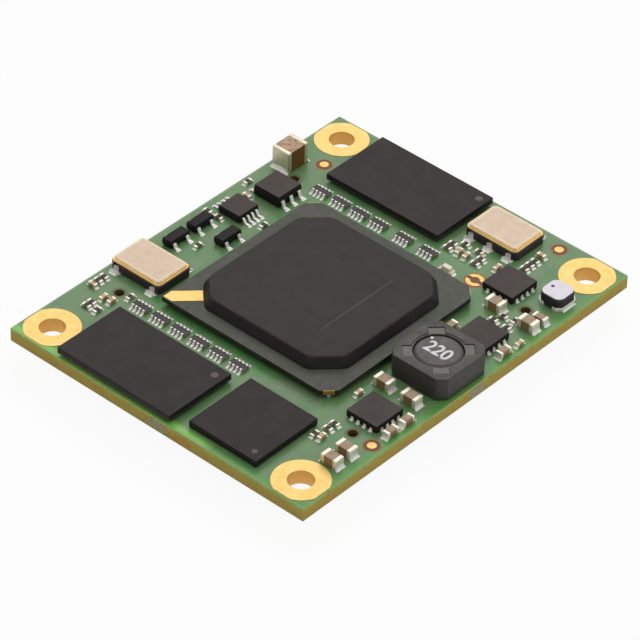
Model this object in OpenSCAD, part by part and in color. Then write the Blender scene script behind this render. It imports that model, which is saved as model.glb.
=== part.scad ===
// System on module: a small circuit board that carries a ball-grid processor, two memories, a network
// transceiver, two oscillators, a switching supply and their passives on top, and two mezzanine
// connectors underneath. Millimetres, +Z up. The origin is under the board's centre, on the plane of
// the connectors' mating faces, so the module stands on z = 0.

/* [Board] */
// Length of the board along X
board_l = 50; // [50:0.5:70]
// Width of the board along Y
board_w = 40; // [40:0.5:60]
// Thickness of the board
board_t = 1.6; // [1:0.1:2.4]
// Distance of each mounting hole's centre from the board's edges
hole_inset = 3; // [2.8:0.1:3.4]
// Diameter of the plated mounting holes
hole_d = 2.8; // [2.2:0.1:3.4]
// Diameter of the gold lands round the mounting holes
land_d = 6; // [5:0.1:6.4]
// Thickness of the plating, on the lands and in the holes
plating_t = 0.05; // [0.03:0.01:0.1]
// Bare margin between a land and the board's edges
edge_margin = 0.2; // [0.1:0.05:0.5]
// Diameter of the gold fiducial dots
fiducial_d = 1; // [0.6:0.1:1.4]
// Outer diameter of the two-pad solder jumper
jumper_d = 2; // [1.4:0.1:2.2]
// Width of each crescent-shaped pad of the solder jumper
jumper_pad_w = 0.5; // [0.3:0.05:0.6]
// Gap between the two pads of the solder jumper
jumper_gap = 0.45; // [0.2:0.05:0.6]

/* [Processor] */
// Side of the square processor substrate
processor_side = 23; // [21:0.5:24]
// Thickness of the processor substrate
processor_substrate_t = 0.56; // [0.3:0.02:0.8]
// Cut on three of the substrate's corners, measured along a side
processor_corner_cut = 1.4; // [0.4:0.1:1.8]
// Side of the mould cap where it meets the substrate
cap_side = 19.9; // [17:0.1:20]
// Height of the mould cap above the substrate
cap_h = 1.17; // [0.8:0.01:1.6]
// How far the mould cap's sides lean in towards the top
cap_lean = 0.65; // [0.2:0.05:0.9]
// Cut on the mould cap's corners, measured along a side
cap_corner = 2.9; // [1.5:0.1:3.5]
// Width of the gold strip where the mould was gated
gate_w = 1.65; // [0.8:0.05:2]
// Length of the strip's head along the edges of the substrate's fourth corner
gate_head = 1.4; // [1.2:0.1:2]
// Bare margin between the strip's head and the substrate's edges
gate_margin = 0.12; // [0.05:0.01:0.3]
// Bare margin beside the copper on a corner's cut face
corner_copper_margin = 0.4; // [0.05:0.01:0.5]
// Number of solder balls along a side of the processor
processor_ball_count = 22; // [16:1:22]
// Distance between neighbouring processor balls
processor_ball_pitch = 1; // [0.8:0.05:1]
// Widest diameter of a processor ball
processor_ball_d = 0.6; // [0.4:0.05:0.7]
// Height of the processor balls between board and substrate
processor_ball_h = 0.5; // [0.3:0.05:0.6]

/* [Memories] */
// Width of a memory along X
memory_w = 9; // [8:0.1:9.4]
// Length of a memory along Y
memory_l = 15.5; // [11:0.1:16]
// Thickness of a memory's moulded body
memory_mould_t = 0.56; // [0.4:0.02:0.8]
// Thickness of a memory's laminate base
memory_base_t = 0.2; // [0.1:0.02:0.3]
// Distance between neighbouring memory balls
memory_ball_pitch = 0.8; // [0.6:0.05:0.85]
// Widest diameter of a memory ball
memory_ball_d = 0.45; // [0.3:0.05:0.5]
// Height of the memory balls
memory_ball_h = 0.34; // [0.2:0.02:0.4]

/* [Transceiver] */
// Side of the square transceiver
transceiver_side = 9; // [8:0.1:9.4]
// Thickness of the transceiver's moulded body
transceiver_t = 0.8; // [0.6:0.05:1.2]
// Number of bump pads along a side of the transceiver
transceiver_pad_count = 13; // [9:1:13]
// Distance between neighbouring bump pads
transceiver_pad_pitch = 0.6; // [0.5:0.05:0.62]
// Side of a bump pad
transceiver_pad = 0.32; // [0.2:0.02:0.4]
// Height of the bump pads
transceiver_pad_h = 0.08; // [0.05:0.01:0.15]

/* [Oscillators] */
// Width of an oscillator's ceramic base along X
oscillator_w = 5; // [4.6:0.1:5.2]
// Length of an oscillator's ceramic base along Y
oscillator_l = 7; // [6.4:0.1:7.2]
// Height of the ceramic base
oscillator_base_h = 0.94; // [0.5:0.02:1.2]
// Height of the seal ring's wide gold flange on the base
seal_flange_h = 0.2; // [0.1:0.02:0.4]
// Height of the seal ring's narrow wall above the flange
seal_wall_h = 0.18; // [0.1:0.02:0.4]
// Ledge of bare ceramic outside the seal ring
seal_ledge = 0.08; // [0.04:0.01:0.3]
// Step from the flange's edge in to the seal ring's wall
seal_step = 0.14; // [0.05:0.01:0.3]
// Width of the seal ring's wall
seal_wall_w = 0.5; // [0.3:0.05:0.8]
// Corner radius of the seal ring's flange
seal_corner_r = 0.6; // [0.5:0.05:1]
// Thickness of the welded lid
lid_t = 0.08; // [0.05:0.01:0.15]
// Step from the seal ring's wall in to the lid's edge
lid_step = 0.11; // [0.02:0.01:0.15]
// Distance between neighbouring terminals along an oscillator
oscillator_pitch = 2.54; // [2.2:0.02:2.6]
// Width of an oscillator terminal
oscillator_terminal_w = 1.3; // [0.8:0.1:1.5]
// Length of the terminal that shows outside the base
oscillator_terminal_out = 0.35; // [0.1:0.05:0.5]
// Thickness of the oscillator terminals
oscillator_terminal_t = 0.08; // [0.04:0.01:0.12]
// Radius of the half-round notch above each terminal
castellation_r = 0.35; // [0.2:0.05:0.45]
// Height of the metal in a notch above the board
castellation_h = 0.62; // [0.3:0.02:0.8]

/* [Power inductor] */
// Side of the square ferrite shield
shield_side = 7.45; // [6.6:0.05:7.8]
// Height of the inductor above its terminals
shield_h = 2.65; // [2:0.05:3.2]
// Cut on the shield's corners
shield_corner = 0.9; // [0.5:0.1:1.4]
// Diameter of the round opening in the shield
shield_bore = 5.6; // [5:0.1:6]
// Width of the four corner pockets of the opening
pocket_w = 1.7; // [1.2:0.1:2.4]
// Distance of the pockets' ends from the inductor's axis
pocket_reach = 3.65; // [3.2:0.05:3.8]
// Diameter of the drum core's flanges
drum_d = 5.2; // [4.4:0.1:5.4]
// Diameter of the drum core's post
drum_post_d = 2.4; // [1.8:0.1:3]
// Thickness of each flange of the drum core
drum_flange_t = 0.55; // [0.4:0.05:0.8]
// Chamfer on the drum core's upper flange
drum_chamfer = 0.35; // [0.1:0.05:0.4]
// Depth of the drum core's top below the shield's top
drum_sink = 0.08; // [0:0.02:0.3]
// Depth of the epoxy round the drum core below the shield's top
epoxy_sink = 0.1; // [0.05:0.05:0.6]
// Height of the epoxy
epoxy_h = 0.8; // [0.4:0.1:1.2]
// Gap between the drum core and the winding round it
winding_gap = 0.05; // [0.02:0.01:0.1]
// Width of a terminal of the power inductor along Y
inductor_terminal_w = 2.4; // [1.6:0.1:3]
// Length of a terminal under the power inductor
inductor_terminal_l = 1.8; // [1.2:0.1:2.4]
// Thickness of the terminals of both inductors
inductor_terminal_t = 0.1; // [0.06:0.02:0.2]

/* [Small inductor] */
// Side of the small inductor's square body
small_inductor_side = 2.9; // [2.4:0.1:3]
// Height of the small inductor's body
small_inductor_h = 1.3; // [1:0.05:1.6]
// Cut on the small inductor's corners
small_inductor_corner = 0.5; // [0.3:0.05:0.8]
// Thickness of the white coat on the small inductor
small_coat_t = 0.1; // [0.05:0.01:0.2]
// Step from the small inductor's side in to its white coat
small_coat_step = 0.08; // [0.04:0.02:0.2]
// Length of each terminal of the small inductor along Y
small_terminal_l = 0.9; // [0.6:0.1:1.2]
// Height of the small inductor's terminals up its sides
small_terminal_h = 0.35; // [0.2:0.05:0.6]

/* [Regulators] */
// Side of a square regulator
regulator_side = 4; // [3.6:0.1:4.1]
// Thickness of a regulator's moulded body
regulator_t = 0.85; // [0.6:0.05:1]
// Thickness of the regulator pads
regulator_pad_t = 0.06; // [0.04:0.01:0.1]
// Number of pads along a side of a regulator
regulator_pad_count = 4; // [3:1:5]
// Distance between neighbouring regulator pads
regulator_pad_pitch = 0.82; // [0.5:0.02:0.85]
// Width of a regulator pad
regulator_pad_w = 0.36; // [0.2:0.02:0.45]
// Length of a regulator pad
regulator_pad_l = 0.7; // [0.4:0.05:0.9]
// Length of a regulator pad that shows outside the body
regulator_pad_out = 0.22; // [0:0.02:0.3]
// Side of the bare thermal pad under a regulator
thermal_pad = 2.3; // [1.5:0.1:2.6]

/* [Leaded packages] */
// Gap between a leaded body and the board
lead_standoff = 0.1; // [0.05:0.05:0.2]
// How far a moulded body's sides lean in, per unit of height
mould_draft = 0.12; // [0.05:0.01:0.2]
// Length of a transistor body along X
transistor_l = 2.9; // [2.6:0.1:3.1]
// Width of a transistor body along Y
transistor_w = 1.3; // [1.1:0.1:1.5]
// Height of a transistor above the board
transistor_h = 1; // [0.8:0.05:1.2]
// Width across a transistor's leads
transistor_span = 2.4; // [2.2:0.05:2.6]
// Distance between a transistor's two front leads
transistor_pitch = 1.9; // [1.7:0.1:2]
// Width of a transistor lead
transistor_lead_w = 0.42; // [0.3:0.02:0.5]
// Side of the eight-lead monitor chip
monitor_side = 3; // [2.8:0.1:3.2]
// Height of the monitor chip above the board
monitor_h = 1.05; // [0.85:0.05:1.2]
// Width across the monitor chip's leads
monitor_span = 4.9; // [4.6:0.05:5]
// Number of leads on each side of the monitor chip
monitor_lead_count = 4; // [3:1:4]
// Distance between neighbouring monitor leads
monitor_pitch = 0.65; // [0.5:0.05:0.7]
// Width of a monitor lead
monitor_lead_w = 0.3; // [0.2:0.02:0.36]
// Side of the six-lead driver chip
driver_side = 3.6; // [3.3:0.1:3.8]
// Height of the driver chip above the board
driver_h = 1.45; // [1.2:0.05:1.7]
// Width across the driver chip's leads
driver_span = 5; // [4.8:0.05:5.2]
// Number of leads on each side of the driver chip
driver_lead_count = 3; // [2:1:3]
// Distance between neighbouring driver leads
driver_pitch = 1.27; // [1:0.01:1.4]
// Width of a driver lead
driver_lead_w = 0.45; // [0.3:0.05:0.6]
// Thickness of all the bent leads
lead_t = 0.14; // [0.1:0.01:0.2]

/* [Chip parts] */
// Length, width and height of the bulk capacitor
bulk_size = [3.1, 2.4, 2.6]; // [2:0.1:3.4]
// Length of the bulk capacitor's metal ends
bulk_end = 0.55; // [0.3:0.05:0.9]
// Length, width and height of the large ceramic capacitors
large_size = [2, 1.25, 1.15]; // [0.8:0.05:2.2]
// Length of the large capacitors' metal ends
large_end = 0.45; // [0.3:0.05:0.6]
// Length, width and height of the medium ceramic capacitors
medium_size = [1.6, 0.85, 0.8]; // [0.6:0.05:1.8]
// Length of the medium capacitors' metal ends
medium_end = 0.32; // [0.2:0.02:0.45]
// Length, width and height of the small ceramic capacitors
small_size = [1, 0.52, 0.5]; // [0.4:0.02:1.1]
// Length, width and height of the chip resistors
resistor_size = [1, 0.52, 0.36]; // [0.3:0.02:1.1]
// Length of the metal ends of the small capacitors and the chip resistors
small_end = 0.24; // [0.15:0.01:0.3]
// How far metal ends stand proud of a chip's body
end_proud = 0.02; // [0.01:0.01:0.04]
// Length of a resistor array along Y
array_l = 2; // [1.8:0.05:2.2]
// Width of a resistor array along X
array_w = 1; // [0.8:0.05:1.1]
// Thickness of a resistor array's ceramic
array_t = 0.36; // [0.25:0.02:0.5]
// Number of terminals on each side of a resistor array
array_count = 4; // [2:1:4]
// Distance between neighbouring array terminals
array_pitch = 0.5; // [0.4:0.02:0.54]
// Width of an array terminal
array_terminal_w = 0.28; // [0.2:0.02:0.34]
// Length of an array terminal on the top of the ceramic
array_wrap = 0.14; // [0.12:0.02:0.3]
// Thickness of the array terminals
array_terminal_t = 0.04; // [0.02:0.01:0.06]
// Length, width and height of the indicator's base
indicator_size = [1.6, 0.8, 0.3]; // [0.2:0.05:1.8]
// Length of the indicator's clear body
indicator_lens_l = 1.05; // [0.8:0.05:1.15]
// Height of the indicator's clear body
indicator_lens_h = 0.4; // [0.2:0.05:0.6]
// How far the clear body's sides lean in towards the top
indicator_lens_lean = 0.12; // [0.05:0.01:0.2]

/* [Connectors] */
// Height of a connector from the board to its mating face
connector_h = 2.4; // [2:0.1:4]
// Width of a connector housing along Y
connector_w = 3.9; // [3.6:0.1:5]
// Distance of each connector's centre line from the board's centre
connector_y = 16; // [15.5:0.1:16.5]
// Number of contacts in a row of a connector
contact_count = 50; // [30:1:50]
// Distance between neighbouring contacts
contact_pitch = 0.5; // [0.4:0.05:0.5]
// Width of a contact
contact_w = 0.2; // [0.14:0.02:0.24]
// Thickness of a contact
contact_t = 0.12; // [0.08:0.01:0.15]
// Length of a contact's tail that shows beside the housing
contact_tail = 0.6; // [0.3:0.1:0.8]
// Depth of a contact's tip below the mating face
contact_tip = 0.35; // [0.2:0.05:0.6]
// Width of the mating slot along Y
slot_w = 1.9; // [1.6:0.1:2.2]
// Depth of the mating slot
slot_depth = 1.7; // [1.2:0.1:1.8]
// Length of the mating slot beyond the contacts at each end
slot_end = 0.5; // [0.3:0.05:0.6]
// Distance between a connector's two guide pins
guide_span = 26.6; // [26.4:0.1:27.4]
// Diameter of the guide pins
guide_d = 1; // [0.7:0.05:1]
// Gap between a guide pin and the wall of its hole
guide_gap = 0.05; // [0.03:0.01:0.1]
// Depth of the guide pins in the board
guide_depth = 0.9; // [0.5:0.1:0.9]
// Housing material beyond the guide pins at each end
housing_end = 1.4; // [1:0.1:2]
// Cut on the housing's polarising corners
housing_cut = 0.7; // [0.3:0.1:1]

/* [Places] */
// Length of the board that the places are given for
layout_l = 50; // [40:0.5:60]
// Reach of the middle of the layout along X, which keeps its place when the board's length changes
middle_reach = 8.8; // [6:0.1:11]
// Reach along X beyond which parts ride with the ends of the board
end_reach = 19; // [17:0.1:20]
// Centre of the processor
processor_at = [-0.2, 0.05]; // [-2:0.05:2]
// Centre of the left memory
memory_left_at = [-20.3, 5.75]; // [-30:0.05:30]
// Centre of the right memory
memory_right_at = [19.85, 5.5]; // [-30:0.05:30]
// Centre of the transceiver
transceiver_at = [-19.25, -8.15]; // [-30:0.05:30]
// Least clearance between a land and the transceiver
land_clearance = 0.6; // [0.3:0.05:1.2]
// Centre of the left oscillator
oscillator_left_at = [-8.5, 16.15]; // [-30:0.05:30]
// Centre of the right oscillator
oscillator_right_at = [21, -6.7]; // [-30:0.05:30]
// Centre of the power inductor
power_inductor_at = [-0.25, -15.8]; // [-30:0.05:30]
// Centre of the small inductor
small_inductor_at = [16.7, -17.35]; // [-30:0.05:30]
// Centre of the front regulator
regulator_front_at = [-9.8, -15.8]; // [-30:0.05:30]
// Centre of the middle regulator
regulator_middle_at = [6.55, -15.75]; // [-30:0.05:30]
// Centre of the right regulator
regulator_right_at = [14.95, -12.45]; // [-30:0.05:30]
// Centre of the monitor chip
monitor_at = [5, 16.35]; // [-30:0.05:30]
// Centre of the driver chip
driver_at = [10.1, 15.45]; // [-30:0.05:30]
// Centre of the bulk capacitor
bulk_at = [15.05, 18.2]; // [-30:0.05:30]
// Centre of the indicator
indicator_at = [12.6, -6]; // [-30:0.05:30]
// Centre of the solder jumper
jumper_at = [13.45, -9.05]; // [-30:0.05:30]
// Distance of each column of resistor arrays from the middle of the two
array_x = 13.55; // [13.2:0.05:14]
// Offset of the middle of the two columns along X
array_shift = -0.04; // [-0.2:0.01:0.2]

/* [Hidden] */

$fn = 48;
ball_facets = 24;
cut_over = 1;
board_bottom = connector_h;
board_top = board_bottom + board_t;
drill_d = hole_d + 2 * plating_t;
guide_hole_d = guide_d + 2 * guide_gap;
hole_at = [board_l / 2 - hole_inset, board_w / 2 - hole_inset];
corner_signs = [[-1, -1], [1, -1], [1, 1], [-1, 1]];

// On a board of another length than the layout's the places spread along X: the middle stays and the ends
// ride along.
growth = (board_l - layout_l) / 2;
function spread_x(x) =
    x + sign(x) * growth * min(1, max(0, (abs(x) - middle_reach) / (end_reach - middle_reach)));
function spread(at) = [spread_x(at[0]), at[1]];
function spread_spots(spots) = [for (s = spots) [spread_x(s[0]), s[1], s[2]]];

memory_left_spot = spread(memory_left_at);
memory_right_spot = spread(memory_right_at);
oscillator_left_spot = spread(oscillator_left_at);
oscillator_right_spot = spread(oscillator_right_at);
small_inductor_spot = spread(small_inductor_at);
regulator_front_spot = spread(regulator_front_at);
driver_spot = spread(driver_at);
bulk_spot = spread(bulk_at);
jumper_spot = spread(jumper_at);

// The transceiver keeps clear of the land in front of it.
land_inner_y = land_d / 2 - hole_at[1];
transceiver_spot = [
    spread_x(transceiver_at[0]), max(transceiver_at[1], land_inner_y + land_clearance + transceiver_side / 2)
];

// The row beside the right regulator closes up or opens out by a share of the growth for each millimetre.
row_share = 0.08;
function row_spots(spots) =
    [for (s = spots) [s[0] + growth * row_share * (s[0] - regulator_right_at[0]), s[1], s[2]]];

// Fiducials: two beside the lands on the right, one of them midway to the oscillator, and one at the front.
fiducial_back_x = -4.6;
fiducial_right_x = 1.4;
fiducial_front_x = -13.4;
fiducial_y = -1.6;
fiducial_spots = [
    [hole_at[0] + fiducial_back_x, hole_at[1] + fiducial_y],
    [hole_at[0] + fiducial_right_x, (oscillator_right_at[1] - oscillator_l / 2 + land_inner_y) / 2],
    [spread_x(fiducial_front_x), fiducial_y - hole_at[1]]
];

// Chips are placed by hand as [x, y, turn]: turn 0 lies along X and 90 along Y. Those left of the right
// regulator keep their place with it.
large_spots = concat([[11.4, -13.55, 90]], spread_spots([
    [11.3, -18, 90], [-5.75, -13.5, 90], [-5.8, -17.1, 90], [-18.1, -17.55, 90], [-16, -17.55, 90]
]));
medium_spots = spread_spots([
    [12.9, -18.25, 90], [-10.9, -18.85, 0], [-8.55, -18.85, 0], [6.25, -18.95, 0], [5.6, -12.45, 0]
]);
small_spots = concat(row_spots([[21.1, -11.6, 90]]), spread_spots([
    [-14.4, 18.7, 90], [-15.15, 16.45, 0], [-15.05, 15.45, 0], [7.45, 17.4, 90],
    [15.7, -4.95, 0], [15.7, -5.95, 0], [16.4, -9.55, 0],
    [-16, -14.3, 0], [-8.5, -12.5, 0], [8.5, -19.15, 0]
]));
resistor_spots = concat([
    [9.65, -14.75, 90], [9.6, -16.55, 90], [10.75, -15.15, 90], [11, -16.45, 0]
], row_spots([
    [18.25, -11.7, 90], [19.1, -11.7, 90], [19.95, -11.7, 90]
]), spread_spots([
    [-13.5, 18.8, 90], [-12.65, 18.8, 90], [-17.25, 16.8, 90], [-16.5, 16.8, 90], [-17.05, 15.5, 0],
    [-13.2, 14.55, 0], [-2.2, 15.4, 0], [2.75, 18.65, 90], [2.75, 17.1, 90], [9.4, 19.1, 0], [5, 12.8, 0],
    [15.45, -3.6, 90], [16.35, -3.6, 90], [17.2, -4.6, 90], [17.2, -6.5, 90],
    [15.4, -7.4, 90], [16.35, -7.4, 90],
    [-16.1, -13.45, 0], [-14.6, -13.9, 90], [-13.6, -13.9, 90]
]));
transistor_spots = [[-3.1, 17.7], [0.55, 17.7], [0.75, 13.95]];

// Resistor arrays stand in two columns between the processor and the memories, at the listed places along Y.
// The columns move half as far as the memories when those ride with the board's ends.
array_left_x = array_shift - array_x + (memory_left_spot[0] - memory_left_at[0]) / 2;
array_right_x = array_shift + array_x + (memory_right_spot[0] - memory_right_at[0]) / 2;
array_left_y = [12.6, 9.9, 7.2, 4.5, 1.8, -0.9];
array_right_y = [12.3, 9.6, 6.9, 4.2, 0.7, -2.6];

// Columns of balls under a memory, counted in pitches from its middle, and the number of balls in a column.
memory_ball_columns = [-4, -3, -2, 2, 3, 4];
memory_ball_rows = 16;

// Decoupling capacitors stand under the processor, on the board's underside.
decoupling_columns = 6;
decoupling_rows = 4;
decoupling_pitch = [3.2, 3.6];

// Directions of the substrate's corners: three are cut, and the gold strip ends at the fourth.
cut_turns = [-135, -45, 45];
gate_turn = 135;
cut_face_from = (processor_side - processor_corner_cut) / sqrt(2);

// Heights above the board's top face.
processor_substrate_top = processor_ball_h + processor_substrate_t;
memory_base_top = memory_ball_h + memory_base_t;
oscillator_base_top = oscillator_terminal_t + oscillator_base_h;
seal_ring_top = oscillator_base_top + seal_flange_h + seal_wall_h;
seal_wall_inset = seal_ledge + seal_step;
shield_top = inductor_terminal_t + shield_h;
drum_top = shield_top - drum_sink;
winding_foot = inductor_terminal_t + drum_flange_t;
coat_inset = small_inductor_corner - small_coat_step / 2;

// Shares of a bent lead's reach that its foot and its shoulder take, and of a ball that meets its lands.
foot_share = 0.55;
shoulder_share = 0.22;
ball_land_share = 0.76;

// Connector sizes measured from the board's underside and the mating face.
contact_span = (contact_count - 1) * contact_pitch;
slot_l = contact_span + contact_w + 2 * slot_end;
housing_l = guide_span + 2 * housing_end;
housing_top = board_bottom - contact_t;
foot_l = housing_end;

// Moves children to a place on the board's top face.
module on_top(at) translate([at[0], at[1], board_top]) children();

// A block centred in X and Y that stands lift above z = 0.
module block(l, w, h, lift = 0) translate([-l / 2, -w / 2, lift]) cube([l, w, h]);

// Outline of a rectangle with all four corners cut.
module cut_rect(l, w, cut) polygon([
    [cut - l / 2, -w / 2], [l / 2 - cut, -w / 2], [l / 2, cut - w / 2], [l / 2, w / 2 - cut],
    [l / 2 - cut, w / 2], [cut - l / 2, w / 2], [-l / 2, w / 2 - cut], [-l / 2, cut - w / 2]
]);

// Outline of a rectangle with round corners.
module round_rect(l, w, r) {
    square([l - 2 * r, w], center = true);
    square([l, w - 2 * r], center = true);
    for (s = corner_signs) translate([s[0] * (l / 2 - r), s[1] * (w / 2 - r)]) circle(r);
}

// Side profile of a moulded body: upright between the band heights, leaning in above and below.
function moulded_profile(w, low, band_low, band_high, high) =
    let (in_low = (band_low - low) * mould_draft, in_high = (high - band_high) * mould_draft)
    [[in_low - w / 2, low], [w / 2 - in_low, low], [w / 2, band_low], [w / 2, band_high],
     [w / 2 - in_high, high], [in_high - w / 2, high], [-w / 2, band_high], [-w / 2, band_low]];

// A moulded body with draft on its four sides, and an upright band where its leads leave.
module moulded_body(l, w, high, exit_z) {
    band_low = exit_z - lead_t / 2;
    band_high = exit_z + lead_t / 2;
    intersection() {
        rotate([90, 0, 0]) linear_extrude(w, center = true)
            polygon(moulded_profile(l, lead_standoff, band_low, band_high, high));
        rotate([90, 0, 90]) linear_extrude(l, center = true)
            polygon(moulded_profile(w, lead_standoff, band_low, band_high, high));
    }
}

// Outline of a gull-wing lead: out from the body, down, and along the board.
function lead_outline(reach, exit_z) =
    let (foot = reach * foot_share, shoulder = reach * shoulder_share, half = lead_t / 2)
    [[0, exit_z + half], [shoulder, exit_z + half], [reach - foot + half, lead_t], [reach, lead_t],
     [reach, 0], [reach - foot - half, 0], [shoulder - half, exit_z - half], [0, exit_z - half]];

// A row of leads that leave a body's face towards +Y.
module lead_row(count, pitch, width, face_y, reach, exit_z)
    for (i = [0:count - 1])
        translate([(i - (count - 1) / 2) * pitch, face_y, 0])
            rotate([90, 0, 90]) linear_extrude(width, center = true) polygon(lead_outline(reach, exit_z));

// A squashed solder ball between two lands.
module ball(d, h) {
    land_r = d / 2 * ball_land_share;
    rotate_extrude($fn = ball_facets) polygon([[0, 0], [land_r, 0], [d / 2, h / 2], [land_r, h], [0, h]]);
}

// The ceramic of chips at the listed spots, between their metal ends.
module chip_bodies(spots, size, end)
    for (s = spots) translate([s[0], s[1], 0]) rotate(s[2])
        block(size[0] - 2 * end, size[1] - 2 * end_proud, size[2] - 2 * end_proud, end_proud);

// The metal ends of chips at the listed spots.
module chip_ends(spots, size, end)
    for (s = spots, side = [-1, 1]) translate([s[0], s[1], 0]) rotate(s[2])
        translate([side * (size[0] - end) / 2, 0, 0]) block(end, size[1], size[2]);

module circuit_board() color([0.36, 0.5, 0.36]) difference() {
    block(board_l, board_w, board_t, board_bottom);
    for (s = corner_signs) {
        translate([s[0] * hole_at[0], s[1] * hole_at[1], board_bottom - cut_over])
            cylinder(d = drill_d, h = board_t + 2 * cut_over);
        translate([s[0] * guide_span / 2, s[1] * connector_y, board_bottom - cut_over])
            cylinder(d = guide_hole_d, h = board_t + 2 * cut_over);
    }
}

// A land's outline is a disc that stops short of the board's edges.
module land_outline() intersection() {
    circle(d = land_d);
    translate([-land_d, -land_d]) square(land_d + hole_inset - edge_margin);
}

module mounting_lands() color([0.95, 0.83, 0.45])
    for (s = corner_signs)
        translate([s[0] * hole_at[0], s[1] * hole_at[1], 0]) mirror([s[0] < 0 ? 1 : 0, 0, 0])
            mirror([0, s[1] < 0 ? 1 : 0, 0]) difference() {
                union() {
                    translate([0, 0, board_bottom - plating_t]) linear_extrude(plating_t) land_outline();
                    translate([0, 0, board_top]) linear_extrude(plating_t) land_outline();
                    translate([0, 0, board_bottom]) cylinder(d = drill_d, h = board_t);
                }
                translate([0, 0, board_bottom - cut_over]) cylinder(d = hole_d, h = board_t + 2 * cut_over);
            }

module gold_marks() color([0.95, 0.78, 0.38]) {
    for (f = fiducial_spots) on_top(f) cylinder(d = fiducial_d, h = plating_t);
    on_top(jumper_spot) linear_extrude(plating_t) difference() {
        circle(d = jumper_d);
        circle(d = jumper_d - 2 * jumper_pad_w);
        square([jumper_gap, 2 * jumper_d], center = true);
    }
}

module processor_substrate() color([0.37, 0.38, 0.34])
    on_top(processor_at) translate([0, 0, processor_ball_h]) linear_extrude(processor_substrate_t)
        difference() {
            square(processor_side, center = true);
            for (turn = cut_turns) rotate(turn) translate([cut_face_from, -processor_side / 2])
                square(processor_side);
        }

// A leaning wall of the mould cap, seen from the side.
function cap_profile(w) = [[-w / 2, 0], [w / 2, 0], [w / 2 - cap_lean, cap_h], [cap_lean - w / 2, cap_h]];

module processor_cap() {
    across_corners = (cap_side * 2 - 2 * cap_corner) / sqrt(2);
    color([0.27, 0.25, 0.25]) on_top(processor_at) translate([0, 0, processor_substrate_top]) intersection() {
        for_turn(0) linear_extrude(cap_side * 2, center = true) polygon(cap_profile(cap_side));
        for_turn(90) linear_extrude(cap_side * 2, center = true) polygon(cap_profile(cap_side));
        for_turn(45) linear_extrude(cap_side * 2, center = true) polygon(cap_profile(across_corners));
        for_turn(-45) linear_extrude(cap_side * 2, center = true) polygon(cap_profile(across_corners));
    }
}

// Stands an extruded side profile upright, turned about Z.
module for_turn(angle) rotate(angle) rotate([90, 0, 0]) children();

// A gold strip runs from the cap's gate to one corner, where it widens into a head. The other corners have
// copper on their cut faces.
module processor_corner_marks() color([0.95, 0.8, 0.42]) on_top(processor_at) {
    gate_from = (cap_side - cap_corner) / sqrt(2);
    head_from = (processor_side - gate_head) / sqrt(2);
    copper_w = processor_corner_cut * sqrt(2) - 2 * corner_copper_margin;
    translate([0, 0, processor_substrate_top]) linear_extrude(plating_t) intersection() {
        square(processor_side - 2 * gate_margin, center = true);
        rotate(gate_turn) {
            translate([gate_from, -gate_w / 2]) square([processor_side, gate_w]);
            translate([head_from, -processor_side / 2]) square(processor_side);
        }
    }
    for (turn = cut_turns) rotate(turn) translate([cut_face_from, -copper_w / 2, processor_ball_h])
        cube([plating_t, copper_w, processor_substrate_t]);
}

module processor_balls() color([0.75, 0.75, 0.76]) on_top(processor_at)
    for (i = [0:processor_ball_count - 1], j = [0:processor_ball_count - 1]) {
        middle = (processor_ball_count - 1) / 2;
        translate([(i - middle) * processor_ball_pitch, (j - middle) * processor_ball_pitch, 0])
            ball(processor_ball_d, processor_ball_h);
    }

module memory_body(at) color([0.26, 0.24, 0.24])
    on_top(at) block(memory_w, memory_l, memory_mould_t, memory_base_top);

module memory_base(at) color([0.16, 0.17, 0.15])
    on_top(at) block(memory_w, memory_l, memory_base_t, memory_ball_h);

// Each memory has two groups of three columns of balls.
module memory_balls() color([0.75, 0.75, 0.76])
    for (at = [memory_left_spot, memory_right_spot]) on_top(at)
        for (column = memory_ball_columns, row = [0:memory_ball_rows - 1])
            translate([column * memory_ball_pitch, (row - (memory_ball_rows - 1) / 2) * memory_ball_pitch, 0])
                ball(memory_ball_d, memory_ball_h);

module memory_left_body() memory_body(memory_left_spot);
module memory_left_base() memory_base(memory_left_spot);
module memory_right_body() memory_body(memory_right_spot);
module memory_right_base() memory_base(memory_right_spot);

module transceiver_body() color([0.27, 0.25, 0.25])
    on_top(transceiver_spot) block(transceiver_side, transceiver_side, transceiver_t, transceiver_pad_h);

module transceiver_pads() color([0.78, 0.76, 0.72]) on_top(transceiver_spot)
    for (turn = [0:90:270], i = [0:transceiver_pad_count - 1]) rotate(turn)
        translate([(i - (transceiver_pad_count - 1) / 2) * transceiver_pad_pitch,
                   (transceiver_side - transceiver_pad) / 2 - transceiver_pad_h, 0])
            block(transceiver_pad, transceiver_pad, transceiver_pad_h);

// Places along Y of an oscillator's terminals: the middle one is there only where six are fitted.
function terminal_y(count) = count == 6 ? [-1, 0, 1] * oscillator_pitch : [-1, 1] * oscillator_pitch;

module oscillator_base(at, count) color([0.2, 0.15, 0.17])
    on_top(at) translate([0, 0, oscillator_terminal_t]) linear_extrude(oscillator_base_h) difference() {
        lid_outline(0);
        for (side = [-1, 1], y = terminal_y(count))
            translate([side * oscillator_w / 2, y]) circle(castellation_r);
    }

// The seal ring: a flange brazed to the base and a narrower wall that carries the lid.
module oscillator_ring(at) {
    inner = 2 * (seal_wall_inset + seal_wall_w);
    color([0.85, 0.68, 0.35]) on_top(at) translate([0, 0, oscillator_base_top]) difference() {
        union() {
            linear_extrude(seal_flange_h) lid_outline(seal_ledge);
            linear_extrude(seal_flange_h + seal_wall_h) lid_outline(seal_wall_inset);
        }
        translate([0, 0, -cut_over])
            block(oscillator_w - inner, oscillator_l - inner, seal_flange_h + seal_wall_h + 2 * cut_over);
    }
}

// Outline with round corners, set in from the edges of an oscillator's base.
module lid_outline(inset)
    round_rect(oscillator_w - 2 * inset, oscillator_l - 2 * inset, seal_corner_r + seal_ledge - inset);

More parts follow.
